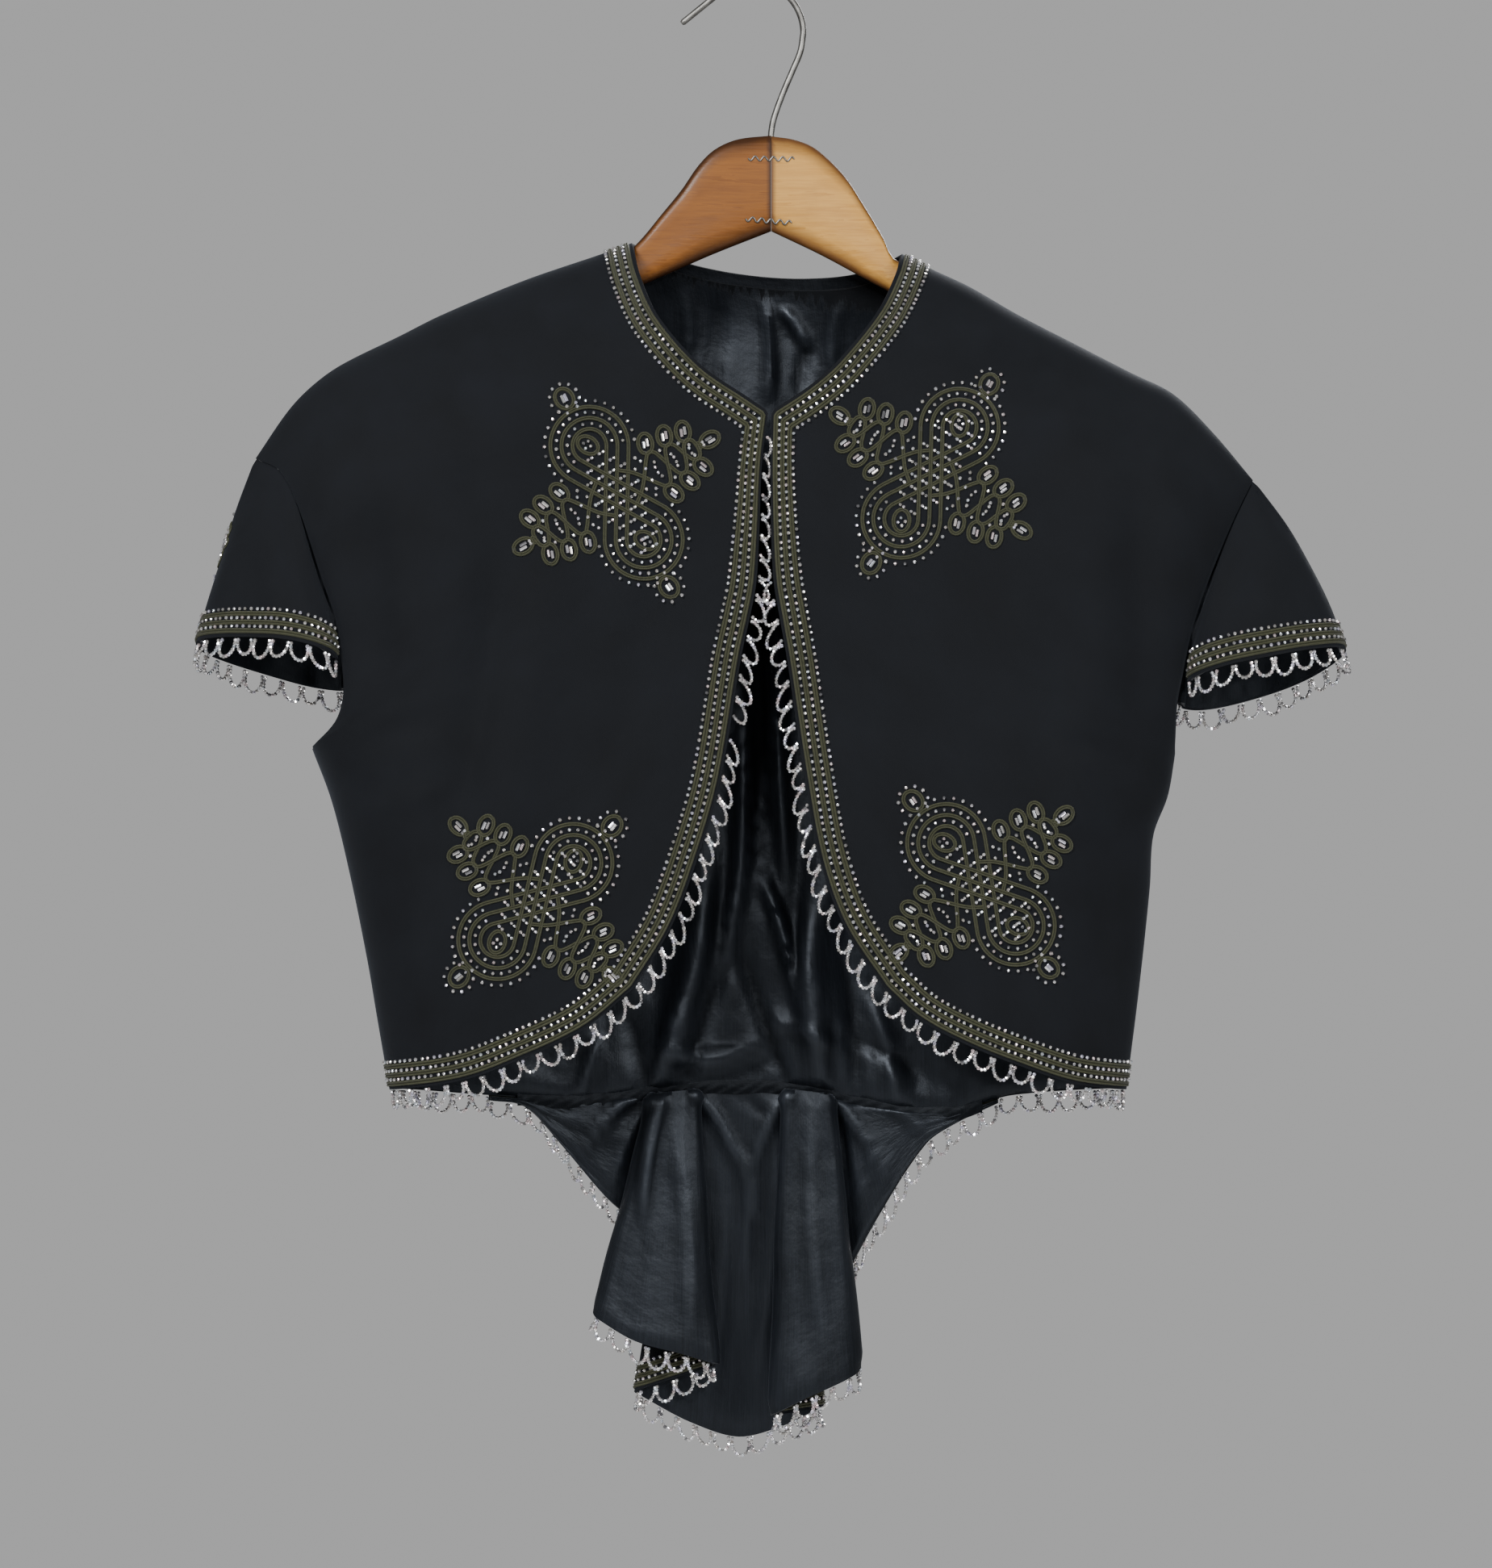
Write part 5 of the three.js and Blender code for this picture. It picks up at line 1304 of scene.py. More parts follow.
@dataclass(frozen=True)
class Knot:
    """A braided ornament: three rows crossed between two eyes, and a leaf of loops either side."""

    name: str
    replaced: str
    seed: float
    radii: tuple[float, ...] = (21.6, 15.5, 9.4)
    eye: float = 30.0
    curl: float = 5.6
    end_loop: float = 4.9
    end_reach: float = 29.6
    leaf: tuple[Pair, ...] = ((15.8, 27.4), (14.2, 38.6), (11.2, 48.8))
    tip: float = 59.6
    petal: Pair = (5.7, 4.0)
    lean: float = 0.36
    braid: float = 0.79

    def belt(self, upper: float, lower: float) -> Array:
        """One closed row, crossed between an eye of radius `upper` and one of radius `lower`."""
        lean = math.acos((upper + lower) / (2 * self.eye))
        turn = np.linspace(math.pi - lean, -(math.pi - lean), 60)
        first = np.stack([self.eye + upper * np.cos(turn), upper * np.sin(turn)], axis=-1)
        turn = np.linspace(lean, 2 * math.pi - lean, 60)
        second = np.stack([-self.eye + lower * np.cos(turn), lower * np.sin(turn)], axis=-1)
        share = np.linspace(0, 1, 40)[1:-1, None]
        there = first[-1] * (1 - share) + second[0] * share
        back = second[-1] * (1 - share) + first[0] * share
        return np.concatenate([first, there, second, back])

    def oval(self, centre: Pair, size: Pair, lean: float) -> Array:
        """A closed oval."""
        turn = np.linspace(0, 2 * math.pi, 29)[:-1]
        a, b = size[0] * np.cos(turn), size[1] * np.sin(turn)
        p = centre[0] + a * math.cos(lean) - b * math.sin(lean)
        return np.stack([p, centre[1] + a * math.sin(lean) + b * math.cos(lean)], axis=-1)

    def strand(self, sign: float, way: float) -> Array:
        """One of the two braids of a leaf, which goes from petal to petal and crosses its fellow."""
        hand = -way
        stops: list[Pair] = [(way * 10.5, 7.0), (way * 4.6, 14.0)]
        for out, along in self.leaf:
            stops += [(hand * (out - 7.4), along - 3.6), (hand * (out - 5.0), along - 0.8),
                      (hand * (out - 7.0), along + 2.2)]
            hand = -hand
        stops += [(hand * 1.8, self.tip - 7.4), (0.0, self.tip - 5.2)]
        line = Line(stops, 110).points
        return np.stack([line[:, 0], line[:, 1] * sign], axis=-1)

    def petals(self) -> list[tuple[Pair, float]]:
        """Every petal's middle on the leaf above, with the lean of its longer axis."""
        sides = [((hand * out, along), hand * self.lean) for out, along in self.leaf for hand in (-1, 1)]
        return sides + [((0.0, self.tip), math.pi / 2)]

    def build(self, place: Placing, scale: float = 1.0) -> None:
        """Makes the knot.

        Args:
            place: turns the knot's own (p, q) and lifts into points and normals on the cloth.
            scale: its size against a front's knot.
        """
        braid, beads = Parts(), Parts()

        def track(path: Array, lift: Array | float) -> Track:
            """Lays a path of the knot on the cloth."""
            return Track(*place(path[:, 0] * scale, path[:, 1] * scale, lift))

        def row(path: Array, spacing: float, lift: float, seed: float, bead: Bead = SEED_BEAD) -> None:
            """Sews beads along a path."""
            line = track(path, lift)
            bead.string(beads, *line.at(spaced(line.run[-1], spacing, 1)), self.seed + seed)

        def ring(path: Array, lift: float = BRAID_LIFT) -> None:
            """Lays a closed braid along a path."""
            SOUTACHE.lay(braid, track(path, lift), closed=True, scale=size)

        size = max(scale, 0.6) * self.braid
        for upper, lower in zip(self.radii, reversed(self.radii)):
            path = resampled(self.belt(upper, lower), 1.2)
            along = unit(np.roll(path, -1, axis=0) - np.roll(path, 1, axis=0))
            slant = along[:, 1] * along[:, 0]
            over = 0.5 + 0.5 * np.sign(slant) * np.minimum(np.abs(4 * slant), 1.0)
            SOUTACHE.lay(braid, track(path, BRAID_LIFT + 0.55 * size * over), closed=True, scale=size)
        long_bead = BUGLE if scale > 0.7 else SEED_BEAD
        wide, medium, tight = self.radii
        for end in (-1.0, 1.0):
            far = end * (self.eye + self.end_reach)
            ring(self.oval((end * (self.eye + 0.8), end * 0.6), (self.curl * 1.1, self.curl * 0.8), 0.5))
            ring(self.oval((far, end * -1.0), (self.end_loop * 1.22, self.end_loop), 0.1))
            halo = self.oval((far, end * -1.0), (self.end_loop + 3.6, self.end_loop + 3.2), 0.2)
            row(halo, 4.9 / scale, BEAD_LIFT, 2.1 + end)
            for shift in (-0.9, 0.9):
                path = np.array([(far - 2.2, end * (shift - 1.2)), (far + 2.2, end * (shift - 0.8))])
                row(path, 6.0 / scale, BEAD_LIFT * 0.8, 3.3 + end + shift, long_bead)
            for gap, radius in enumerate((wide + 3.4, (wide + medium) / 2, (medium + tight) / 2)):
                turn = np.linspace(-2.05, 2.05, 60) + (0.0 if end > 0 else math.pi)
                arc = np.stack([end * self.eye + radius * np.cos(turn), radius * np.sin(turn)], axis=-1)
                row(arc, (5.2 if gap == 0 else 4.7) / scale, BEAD_LIFT, 4.0 + gap + end)
            pupil = self.oval((end * (self.eye + 1.2), end * 1.0), (2.2, 2.0), 0.0)
            row(pupil, 3.0 / scale, BEAD_LIFT, 8.0 + end)
            for way in (-1.0, 1.0):
                path = self.strand(end, way)
                over = 0.5 + 0.5 * way * np.cos(path[:, 1] * 2 * math.pi / 22.0)
                SOUTACHE.lay(braid, track(path, BRAID_LIFT + 0.45 * size * over), scale=size)
            for middle, lean in self.petals():
                ring(self.oval((middle[0], middle[1] * end), self.petal, lean * end), BRAID_LIFT + 0.2)
            self.fill_leaf(row, end, scale, long_bead)
        self.fill_crossing(row, scale)
        finish_trimming(self.name, self.replaced, braid, beads)

    def fill_leaf(self, row: Callable[..., None], end: float, scale: float, long_bead: Bead) -> None:
        """Fills a leaf's petals with long beads, and the plait between them with short ones."""
        for number, (middle, lean) in enumerate(self.petals()):
            way = np.array([math.cos(lean), math.sin(lean)])
            side = np.array([-way[1], way[0]])
            for shift, slide in ((-1.0, 0.5), (1.0, -0.5)):
                spot = np.array(middle) + side * shift + way * slide
                path = np.stack([spot - way * 2.1, spot + way * 2.1]) * [1, end]
                row(path, 6.0 / scale, BEAD_LIFT * 0.8, 11.0 + number + shift, long_bead)
        for number, (out, along, length) in enumerate(LEAF_BEADS):
            for hand in (-1, 1) if out else (1,):
                first, last = (hand * out, along - length / 2), (hand * out * 1.04, along + length / 2)
                row(np.array([first, last]) * [1, end], 1.9 / scale, BEAD_LIFT * 0.9,
                    23.0 + number + 0.3 * hand)

    def fill_crossing(self, row: Callable[..., None], scale: float) -> None:
        """Fills the lattice where the rows cross with pairs of beads."""
        lean = math.acos((self.radii[0] + self.radii[-1]) / (2 * self.eye))
        one = np.array([math.sin(lean), math.cos(lean)])
        two = np.array([math.sin(lean), -math.cos(lean)])
        pitch = (self.radii[0] - self.radii[1]) / (2 * math.sin(lean) * math.cos(lean))
        for i in range(-3, 4):
            for j in range(-3, 4):
                if abs(i + j) > 5 or abs(i - j) > 3:
                    continue
                middle = one * (i + 0.5) * pitch + two * (j + 0.5) * pitch
                for shift in (-1.15, 1.15):
                    spot = middle + np.array([0.0, shift])
                    row(np.stack([spot - [1.3, 0], spot + [1.3, 0]]), 2.4 / scale, BEAD_LIFT * 0.95,
                        41.0 + i + 0.37 * j + 0.11 * shift)


@dataclass(frozen=True)
class KnotPlace:
    """Where a front's knot lies and how it is turned."""

    name: str
    x: float
    z: float
    turn: float

    def build(self, seed: float) -> None:
        """Makes the knot on the front's cloth."""
        angle = math.radians(self.turn)

        def place(p: Array, q: Array, lift: Array | float) -> tuple[Array, Array]:
            """Lays the knot's own coordinates on the cloth."""
            x = self.x + p * math.cos(angle) - q * math.sin(angle)
            z = self.z + p * math.sin(angle) + q * math.cos(angle)
            return BODY.lifted(x, z, Face.FRONT, lift), BODY.normal(x, z, Face.FRONT)

        Knot(f"braid_knot_{self.name}", f"knot_{self.name}", seed).build(place)


# ---- the back ----
@dataclass
class BackPanel:
    """The back's wall of wool, its neck and hem borders, and the silk lining inside it."""

    columns: int = 190
    rows: int = 150
    tail_left: float = -150.0
    tail_right: float = 141.0

    def plan(self, t: Array, v: Array) -> Array:
        """Plan points at shares t across (-1 to 1) and v down (0 to 1)."""
        left, right = LINES[Side.LEFT], LINES[Side.RIGHT]
        size = np.abs(t)
        neck = BACK_NECK.at((t / BACK_NECK_SHARE + 1) / 2)
        out = (size - BACK_NECK_SHARE) / (1 - BACK_NECK_SHARE)
        shoulder = np.where((t < 0)[..., None], left["shoulder"].at(out), right["shoulder"].at(out))
        top = np.where((size <= BACK_NECK_SHARE)[..., None], neck, shoulder)
        first = run_down(left["armhole"], left["side"], UNDERARM_SHARE, v)
        last = run_down(right["armhole"], right["side"], UNDERARM_SHARE, v)
        u = (t + 1) / 2
        return patch(top, BACK_WAIST.at(u), first, last, u, v)

    def shares(self, trim: float, first: float, last: float) -> tuple[Array, Array]:
        """Shares across and down for a fine grid, closer together at its edges."""
        t = np.sin(np.linspace(-1, 1, self.columns + 1) * math.pi / 2 * 0.94)
        t = t / t[-1] * (1 - trim)
        v = first + (last - first) * np.linspace(0, 1, self.rows + 1) ** 1.35
        return t[None, :], v[:, None]

    def hem_line(self, side: Side) -> Edge:
        """The line at a distance above the back's hem, between the side seam and the tail."""

        def line(distance: float, lift: float) -> Track:
            """Lays the line on the cloth."""
            points = resampled(BACK_WAIST.points, BORDER_STEP)
            keep = points[:, 0] <= self.tail_left if side is Side.LEFT else points[:, 0] >= self.tail_right
            x, z = points[keep, 0], points[keep, 1] + distance
            return BODY.track(BODY.kept_in(side, x, z), z, Face.BACK, lift)

        return line

    def neck_line(self, distance: float, lift: float) -> Track:
        """The line at a distance below the back's neck."""
        points = resampled(BACK_NECK.points, BORDER_STEP)
        x, z = points[:, 0], points[:, 1] - distance
        return BODY.track(x, np.minimum(z, BODY.shoulder_z(x) - SHOULDER_KEEP), Face.BACK, lift)

    def build(self) -> None:
        """Makes the back, its lining and its borders."""
        plan = self.plan(*self.shares(0.0, 0.0, 1.0))[::2, ::2]
        x, z = plan[..., 0], plan[..., 1]
        outer = BODY.point(x, z, Face.BACK)
        inner = outer - BODY.wall_normal(x, z, Face.BACK) * WOOL
        panel = shell(outer, inner, grid_uv(outer)).mesh("wool_back")
        dress(panel, "wool", ("back",), FINISHES.wool, FINISHES.facing)
        self.build_lining()
        Border("braid_back_neck", "border_back_neck", 21.0).build(self.neck_line)
        for side in Side:
            border = Border(f"braid_hem_{side.word}", f"border_hem_{side.word}", 23.0 + side.value)
            border.build(self.hem_line(side))

    def build_lining(self) -> None:
        """Makes the silk that hangs inside the back."""
        plan = self.plan(*self.shares(0.012, 0.006, 0.998))
        x, z = plan[..., 0], plan[..., 1]
        way = BODY.wall_normal(x, z, Face.BACK)
        drop = BODY.shoulder_z(x) - z
        room = ease(drop / 30) * ease((x - BODY.side_x(Side.LEFT, z)) / 30) * ease(
            (BODY.side_x(Side.RIGHT, z) - x) / 30) * ease((z - BACK_WAIST.read(x)) / 9 + 0.12)
        lift = (LINING_CREASE_SCALE * crease_height(LINING_CREASES, x, z) + self.crumple(x, z)) * room
        outer = BODY.point(x, z, Face.BACK) - way * LINING_INSET
        face = outer - way * (SILK + np.maximum(lift + 2.4 * room, 0.0))[..., None]
        # The lining's tint paints shade into its creases and a highlight onto its crests.
        parts = shell(outer, face, grid_uv(outer), relief(lift, outer))
        lining = parts.mesh("silk_back_lining", sharp=70)
        dress(lining, "silk", ("lining_back",), FINISHES.split_silk, FINISHES.split_silk)

    def crumple(self, x: Array, z: Array) -> Array:
        """Small slanting rucks of silk, stronger towards the waist."""
        low = ease((-430 - z) / 180)
        bands = np.sin(x / 10.5 + z / 38.0 + 1.8 * np.sin(z / 47.0)) * np.sin(z / 31.0 + x / 37.0)
        fine = np.sin((x + z) / 6.1 + 1.1 * np.sin(x / 9.0)) * np.sin((z - 0.7 * x) / 9.7)
        return (0.3 + 1.1 * low) * bands + (0.06 + 0.3 * low) * fine


@dataclass(frozen=True)
class TailColumn:
    """One column of the tail, from the waist seam to its hem."""

    waist_x: float
    waist_forward: float
    hem_x: float
    hem_z: float
    hem_forward: float
    fold: bool = False


TAIL_COLUMNS = tuple(TailColumn(*row) for row in (
    (-150, 0, -150, -634, 0), (-131, 0, -130, -638, 0), (-115, 0, -111, -658, 0), (-80, 0, -84, -690, 0),
    (-50, 0, -60, -712, -4, True), (-58, 9, -91, -757, 10, True), (-50, 11, -66, -771, 22),
    (-39, 11, -40, -778, 26), (-31, 9, -19, -785, 20, True), (-40, 0, -69, -802, 0, True),
    (-25, 0, -35, -821, -8), (-5, 0, -8, -830, -14), (12, 0, 17, -824, -12), (29, 0, 43, -811, -2, True),
    (19, 9, 10, -815, 18, True), (27, 11, 30, -804, 26), (38, 11, 48, -796, 22),
    (46, 9, 62, -789, 10, True), (38, 0, 50, -745, -4, True), (60, 0, 72, -703, 0), (88, 0, 100, -660, 0),
    (116, 0, 117, -648, 0), (141, 0, 141, -636, 0)))


@dataclass
class Tail:
    """The pleated tail below the waist, its lining, border and loops."""

    out: float = 1.0
    reach: float = 7.0
    part: float = 2.2
    rows: int = 60
    fine: int = 7

    def corners(self, v: Array) -> Array:
        """The columns' points at the shares v down, as rows of columns."""
        share = v[:, None]

        def every(name: str) -> Array:
            """One value of every column, as a row."""
            return np.array([getattr(column, name) for column in TAIL_COLUMNS], float)[None, :]

        waist_z = BACK_WAIST.read(every("waist_x")) - 0.6
        x = every("waist_x") * (1 - share) + every("hem_x") * share
        z = waist_z * (1 - share) + every("hem_z") * share
        forward = every("waist_forward") * (1 - share) + every("hem_forward") * share
        y = BODY.y(x, np.maximum(z, -700), Face.BACK) - self.out - forward
        return np.stack([x, y, z], axis=-1)

    def knots(self, v: Array) -> Array:
        """The columns with each turned edge rounded to three points."""
        corner = self.corners(v)
        columns: list[Array] = []
        for i, column in enumerate(TAIL_COLUMNS):
            p = corner[:, i]
            if not column.fold:
                columns.append(p)
                continue
            before, after = corner[:, i - 1], corner[:, i + 1]
            near = np.minimum(0.36, self.reach / np.linalg.norm(p - before, axis=1))[:, None]
            far = np.minimum(0.36, self.reach / np.linalg.norm(p - after, axis=1))[:, None]
            start, end = p + (before - p) * near, p + (after - p) * far
            middle = (start + end) * 0.2 + p * 0.6
            part = self.part * np.sign(before[:, 1] - after[:, 1])
            start[:, 1] += part
            end[:, 1] -= part
            columns += [start, middle, end]
        return np.stack(columns, axis=1)

    def surface(self, v: Array) -> Array:
        """A fine grid through the columns at the shares v."""
        p = self.knots(v)
        n = p.shape[1]
        h = np.linalg.norm(np.diff(p, axis=1), axis=2)
        span = np.zeros(p.shape[:2])
        span[:, :-1] += h
        span[:, 1:] += h
        low, high = np.maximum(np.arange(n) - 1, 0), np.minimum(np.arange(n) + 1, n - 1)
        slope = (p[:, high] - p[:, low]) / span[..., None]
        pieces = []
        for i in range(n - 1):
            t = (np.arange(self.fine + (i == n - 2)) / self.fine)[None, :, None]
            step = h[:, i][:, None, None]
            a, b = p[:, i][:, None], p[:, i + 1][:, None]
            pieces.append(curved(t, step, a, b, slope[:, i][:, None], slope[:, i + 1][:, None]))
        return np.concatenate(pieces, axis=1)

    def ruck(self, shape: tuple[int, int]) -> Array:
        """The silk's creases, which fan down from the waist seam and run on to the hem."""
        v = np.linspace(0, 1, shape[0])[:, None]
        c = np.linspace(0, 36, shape[1])[None, :]
        fan = np.sin(c * 3.1 + 1.1 * np.sin(v * 3.0) + 0.8) * np.exp(-(v / 0.4) ** 2) * 1.5
        long = np.sin(c * 1.37 + 0.5 + 0.9 * np.sin(2.4 * v + 0.3 * c)) * (0.5 + 0.6 * v) * 1.1
        cross = np.sin(v * 15.0 + 1.7 * np.sin(c * 0.9) + 0.8 * c) * np.sin(c * 0.55 + 0.4) * 0.3
        return (0.2 * fan + 0.6 * long + cross + 1.0) * ease(v / 0.05) * ease((1 - v) / 0.05)

    def build(self, back: BackPanel) -> None:
        """Makes the tail with all that hangs from it."""
        v = np.linspace(0, 1, self.rows + 1)
        grid = self.surface(v)
        normal = grid_normals(grid, 1)
        outer, inner = grid + normal * self.out, grid + normal * (self.out - WOOL)
        uv = grid_uv(grid)
        wool = shell(outer[::2], inner[::2], uv[::2]).mesh("wool_tail", sharp=70)
        dress(wool, "wool", ("tail",), FINISHES.wool, FINISHES.facing)
        sewn = TAIL_CREASE_SCALE * crease_height(TAIL_CREASES, grid[..., 0], grid[..., 2])
        lift = np.clip(self.ruck(grid.shape[:2]) + sewn * ease(v / 0.03)[:, None], -0.2, 4.0)
        back_face = inner - normal * 0.25
        face = back_face - normal * (SILK + 0.3 + lift)[..., None]
        # The tail lining's tint paints shade into its creases and a highlight onto its crests.
        parts = shell(back_face, face, uv, relief(lift, grid))
        self.turn_in(parts)
        silk = parts.mesh("silk_tail_lining", sharp=70)
        dress(silk, "silk", ("lining_tail",), FINISHES.silk, FINISHES.silk)
        Border("braid_tail", "border_tail", 31.0).build(self.hem_line)
        self.build_loops(back)

    def turn_in(self, parts: Parts) -> None:
        """Adds the lining's turned-in top edge, which is felled over the back's lining, with painted shade in
        its colour.
        """
        x = np.linspace(TAIL_COLUMNS[1].waist_x - 3, TAIL_COLUMNS[-2].waist_x + 16, 240)[None, :]
        v = np.linspace(0, 1, 13)[:, None]
        z = BACK_WAIST.read(x) + 2.6 + 0.5 * np.sin(x / 5.3) - v * 7.4
        x = x + 0 * z
        y = BODY.y(x, z, Face.BACK) - 2.95 - 0.35 * np.sin(x / 3.1 + 4 * v) ** 2 * v
        grid = np.stack([x, y - 0.3 * np.sin(math.pi * v), z], axis=-1)
        strip = shell(grid, grid - np.array([0.0, 0.5, 0.0]), grid_uv(grid))
        # Painted shade: the strip's silk is darkened to a dark line along the waist seam.
        strip.tint = [np.full(strip.count, TURN_IN_PAINTED_SHADE)]
        parts.join(strip)

    def hem_line(self, distance: float, lift: float) -> Track:
        """The line at a distance above the tail's hem, on its outer face."""
        v = np.linspace(0, 1, 41)
        grid = self.surface(v)
        normal = grid_normals(grid, 1)
        steps = np.linalg.norm(np.diff(grid, axis=0), axis=2)
        run = np.pad(np.cumsum(steps, axis=0), ((1, 0), (0, 0)))
        points, normals = [], []
        for k in range(grid.shape[1]):
            spare = distance + 0.5 - run[-1, k]
            if spare > 0 and (k < 2 * self.fine or k > grid.shape[1] - 2 * self.fine):
                x, z = grid[:1, k, 0], grid[:1, k, 2] + spare
                normals.append(BODY.normal(x, z, Face.BACK)[0])
                points.append(BODY.lifted(x, z, Face.BACK, lift)[0])
                continue
            s = run[-1, k] - min(distance, run[-1, k] - 0.5)
            normals.append(unit(looked_up(s, run[:, k], normal[:, k])))
            points.append(looked_up(s, run[:, k], grid[:, k]) + normals[-1] * (self.out + lift))
        return Track(np.array(points), np.array(normals))

    def build_loops(self, back: BackPanel) -> None:
        """Hangs loops of beads along the tail's hem and the back's."""
        edge = self.hem_line(0.0, -self.out)
        inside = self.hem_line(4.0, -self.out)
        out = unit(edge.points - inside.points)
        runs = [(edge.points, out, edge.normals, None)]
        for side in Side:
            line = back.hem_line(side)(0.0, -0.8)
            way = np.tile([0.0, 0.0, -1.0], (len(line.points), 1))
            runs.append((line.points, way, line.normals, None))
        Loops("loops_tail", tuple(f"swags_tail_{name}" for name in (
            "side_left", "lobe_left", "centre", "lobe_right", "side_right")), 37.0).build(runs)


# ---- sleeves ----
@dataclass
class Sleeve:
    """A cap of wool over the shoulder's end, open beneath, with its lining, border and loops."""

    side: Side
    outer: Pair
    front_end: Pair
    back_end: Pair
    puff: float
    front_rise: float
    back_rise: float
    bulge: float
    flat: Pair
    area: float
    folds: tuple[Point, ...]
    knot_t: float
    rows: int = 46
    columns: int = 100

    def surface(self, v: Array, t: Array) -> Array:
        """The cap's points at shares v from armhole to hem and t from the front's end (-1) to the back's."""
        v, t = np.broadcast_arrays(v, t)
        spread = np.abs(t)
        share = 0.574 * spread**1.35
        plan = LINES[self.side]["armhole"].at(share)
        x, z = plan[..., 0], plan[..., 1]
        start = np.where((t < 0)[..., None], BODY.point(x, z, Face.FRONT), BODY.point(x, z, Face.BACK))
        start[..., 1] = np.where(spread < 1e-6, BODY.middle_y(x), start[..., 1])
        start[..., 0] += self.side.value * 0.3
        face = np.sign(t)
        across = (1 - np.cos(math.pi * spread)) / 2
        puff = np.sin(math.pi * spread)
        ends = []
        for (ex, ez), way in ((self.front_end, Face.FRONT), (self.back_end, Face.BACK)):
            ends.append(np.array([ex, float(BODY.y(np.array(ex), np.array(ez), way)), ez]))
        end = np.where((t < 0)[..., None], ends[0], ends[1])
        rise = np.where(t < 0, self.front_rise, self.back_rise)
        outer_y = float(BODY.middle_y(np.array(self.outer[0]))) * 0.8
        hem = np.stack([self.outer[0] + (end[..., 0] - self.outer[0]) * across,
                        outer_y + (end[..., 1] - outer_y) * across + face * self.puff * puff,
                        self.outer[1] + (end[..., 2] - self.outer[1]) * across + rise * puff], axis=-1)
        point = start + (hem - start) * v[..., None]
        out = unit(np.stack([self.side.value * np.cos(2 * spread), face * np.sin(2 * spread),
                             np.full_like(spread, 0.3)], axis=-1))
        soft = self.bulge * np.sin(math.pi * v) * (1 - spread**2)
        for place, width, height in self.folds:
            soft = soft + height * np.exp(-(((t - place) / width) ** 2)) * v**0.8
        soft = soft + 0.5 * np.sin(t * 23 + v * 4) * np.sin(v * 9 + 2 * t) * np.sin(math.pi * v)
        return point + out * soft[..., None]

    def grid(self, v: Array, t: Array) -> tuple[Array, Array]:
        """The cap's points and its cloth's own normals over a grid."""
        points = self.surface(v[:, None], t[None, :])
        return points, grid_normals(points, -self.side.value)

    def at(self, v: Array, t: Array, lift: Array | float) -> tuple[Array, Array]:
        """Points and normals at single places on the cap."""
        step = 0.004
        low_t, high_t = np.clip(t - step, -1, 1), np.clip(t + step, -1, 1)
        low_v, high_v = np.clip(v - step, 0, 1), np.clip(v + step, 0, 1)
        across = self.surface(v, high_t) - self.surface(v, low_t)
        down = self.surface(high_v, t) - self.surface(low_v, t)
        normal = unit(np.cross(across, down) * -self.side.value)
        return self.surface(v, t) + normal * np.asarray(lift)[..., None], normal

    def hem_line(self, distance: float, lift: float) -> Track:
        """The line at a distance in from the hem."""
        t = np.linspace(-0.995, 0.995, 240)
        length = np.linalg.norm(self.surface(np.ones_like(t), t) - self.surface(np.zeros_like(t), t), axis=1)
        v = 1 - np.minimum(distance / length, 0.94)
        return Track(*self.at(v, t, lift))

    def bare(self) -> tuple[Array, Array, Array]:
        """The hem's bare edge, with the ways out of it and the normals."""
        edge, inside = self.hem_line(0.0, -0.8), self.hem_line(3.0, -0.8)
        return edge.points, unit(edge.points - inside.points), edge.normals

    def build(self) -> None:
        """Makes the sleeve and all that is sewn on it."""
        word = self.side.word
        v = np.linspace(0, 1, self.rows + 1)
        t = np.linspace(-1, 1, self.columns + 1)
        points, normals = self.grid(v, t)
        uv = grid_uv(points)
        seam = np.pad(np.linalg.norm(np.diff(points, axis=0), axis=2).cumsum(axis=0), ((1, 0), (0, 0)))
        sunk = points - normals * seam_dip(seam, 1.0, 2.6)[..., None]
        wool = shell(sunk, points - normals * WOOL, uv).mesh(f"wool_sleeve_{word}", sharp=70)
        dress(wool, "wool", (f"sleeve_{word}",), FINISHES.wool, FINISHES.facing)
        v = np.linspace(0.05, 0.985, self.rows + 1)
        t = np.linspace(-0.985, 0.985, self.columns + 1)
        points, normals = self.grid(v, t)
        ruck = 0.8 + 0.7 * np.sin(t * 31 + 3 * v[:, None]) * np.sin(v * 8)[:, None]
        start = points - normals * LINING_INSET
        silk = shell(start, start - normals * (SILK + np.maximum(ruck, 0))[..., None], grid_uv(points))
        lining = silk.mesh(f"silk_sleeve_{word}_lining", sharp=70)
        dress(lining, "silk", (f"lining_sleeve_{word}",), FINISHES.silk, FINISHES.silk)
        Border(f"braid_sleeve_{word}", f"border_sleeve_{word}", 51.0 + self.side.value).build(self.hem_line)
        loops = Loops(f"loops_sleeve_{word}", (f"swags_sleeve_{word}",), 53.0 + self.side.value)
        loops.build([(*self.bare(), None)])
        self.build_knot(word)

    def build_knot(self, word: str) -> None:
        """Lays the sleeve's knot on its outer half."""

        def place(p: Array, q: Array, lift: Array | float) -> tuple[Array, Array]:
            """Lays the knot's own coordinates on the cap."""
            v = np.clip(0.46 - p / SLEEVE_KNOT_DOWN, 0.02, 0.98)
            t = np.clip(self.knot_t + q / SLEEVE_KNOT_ROUND, -0.97, 0.97)
            return self.at(v, t, lift)

        knot = Knot(f"braid_knot_sleeve_{word}", f"knot_sleeve_{word}", 61.0 + self.side.value)
        knot.build(place, SLEEVE_KNOT_SCALE)


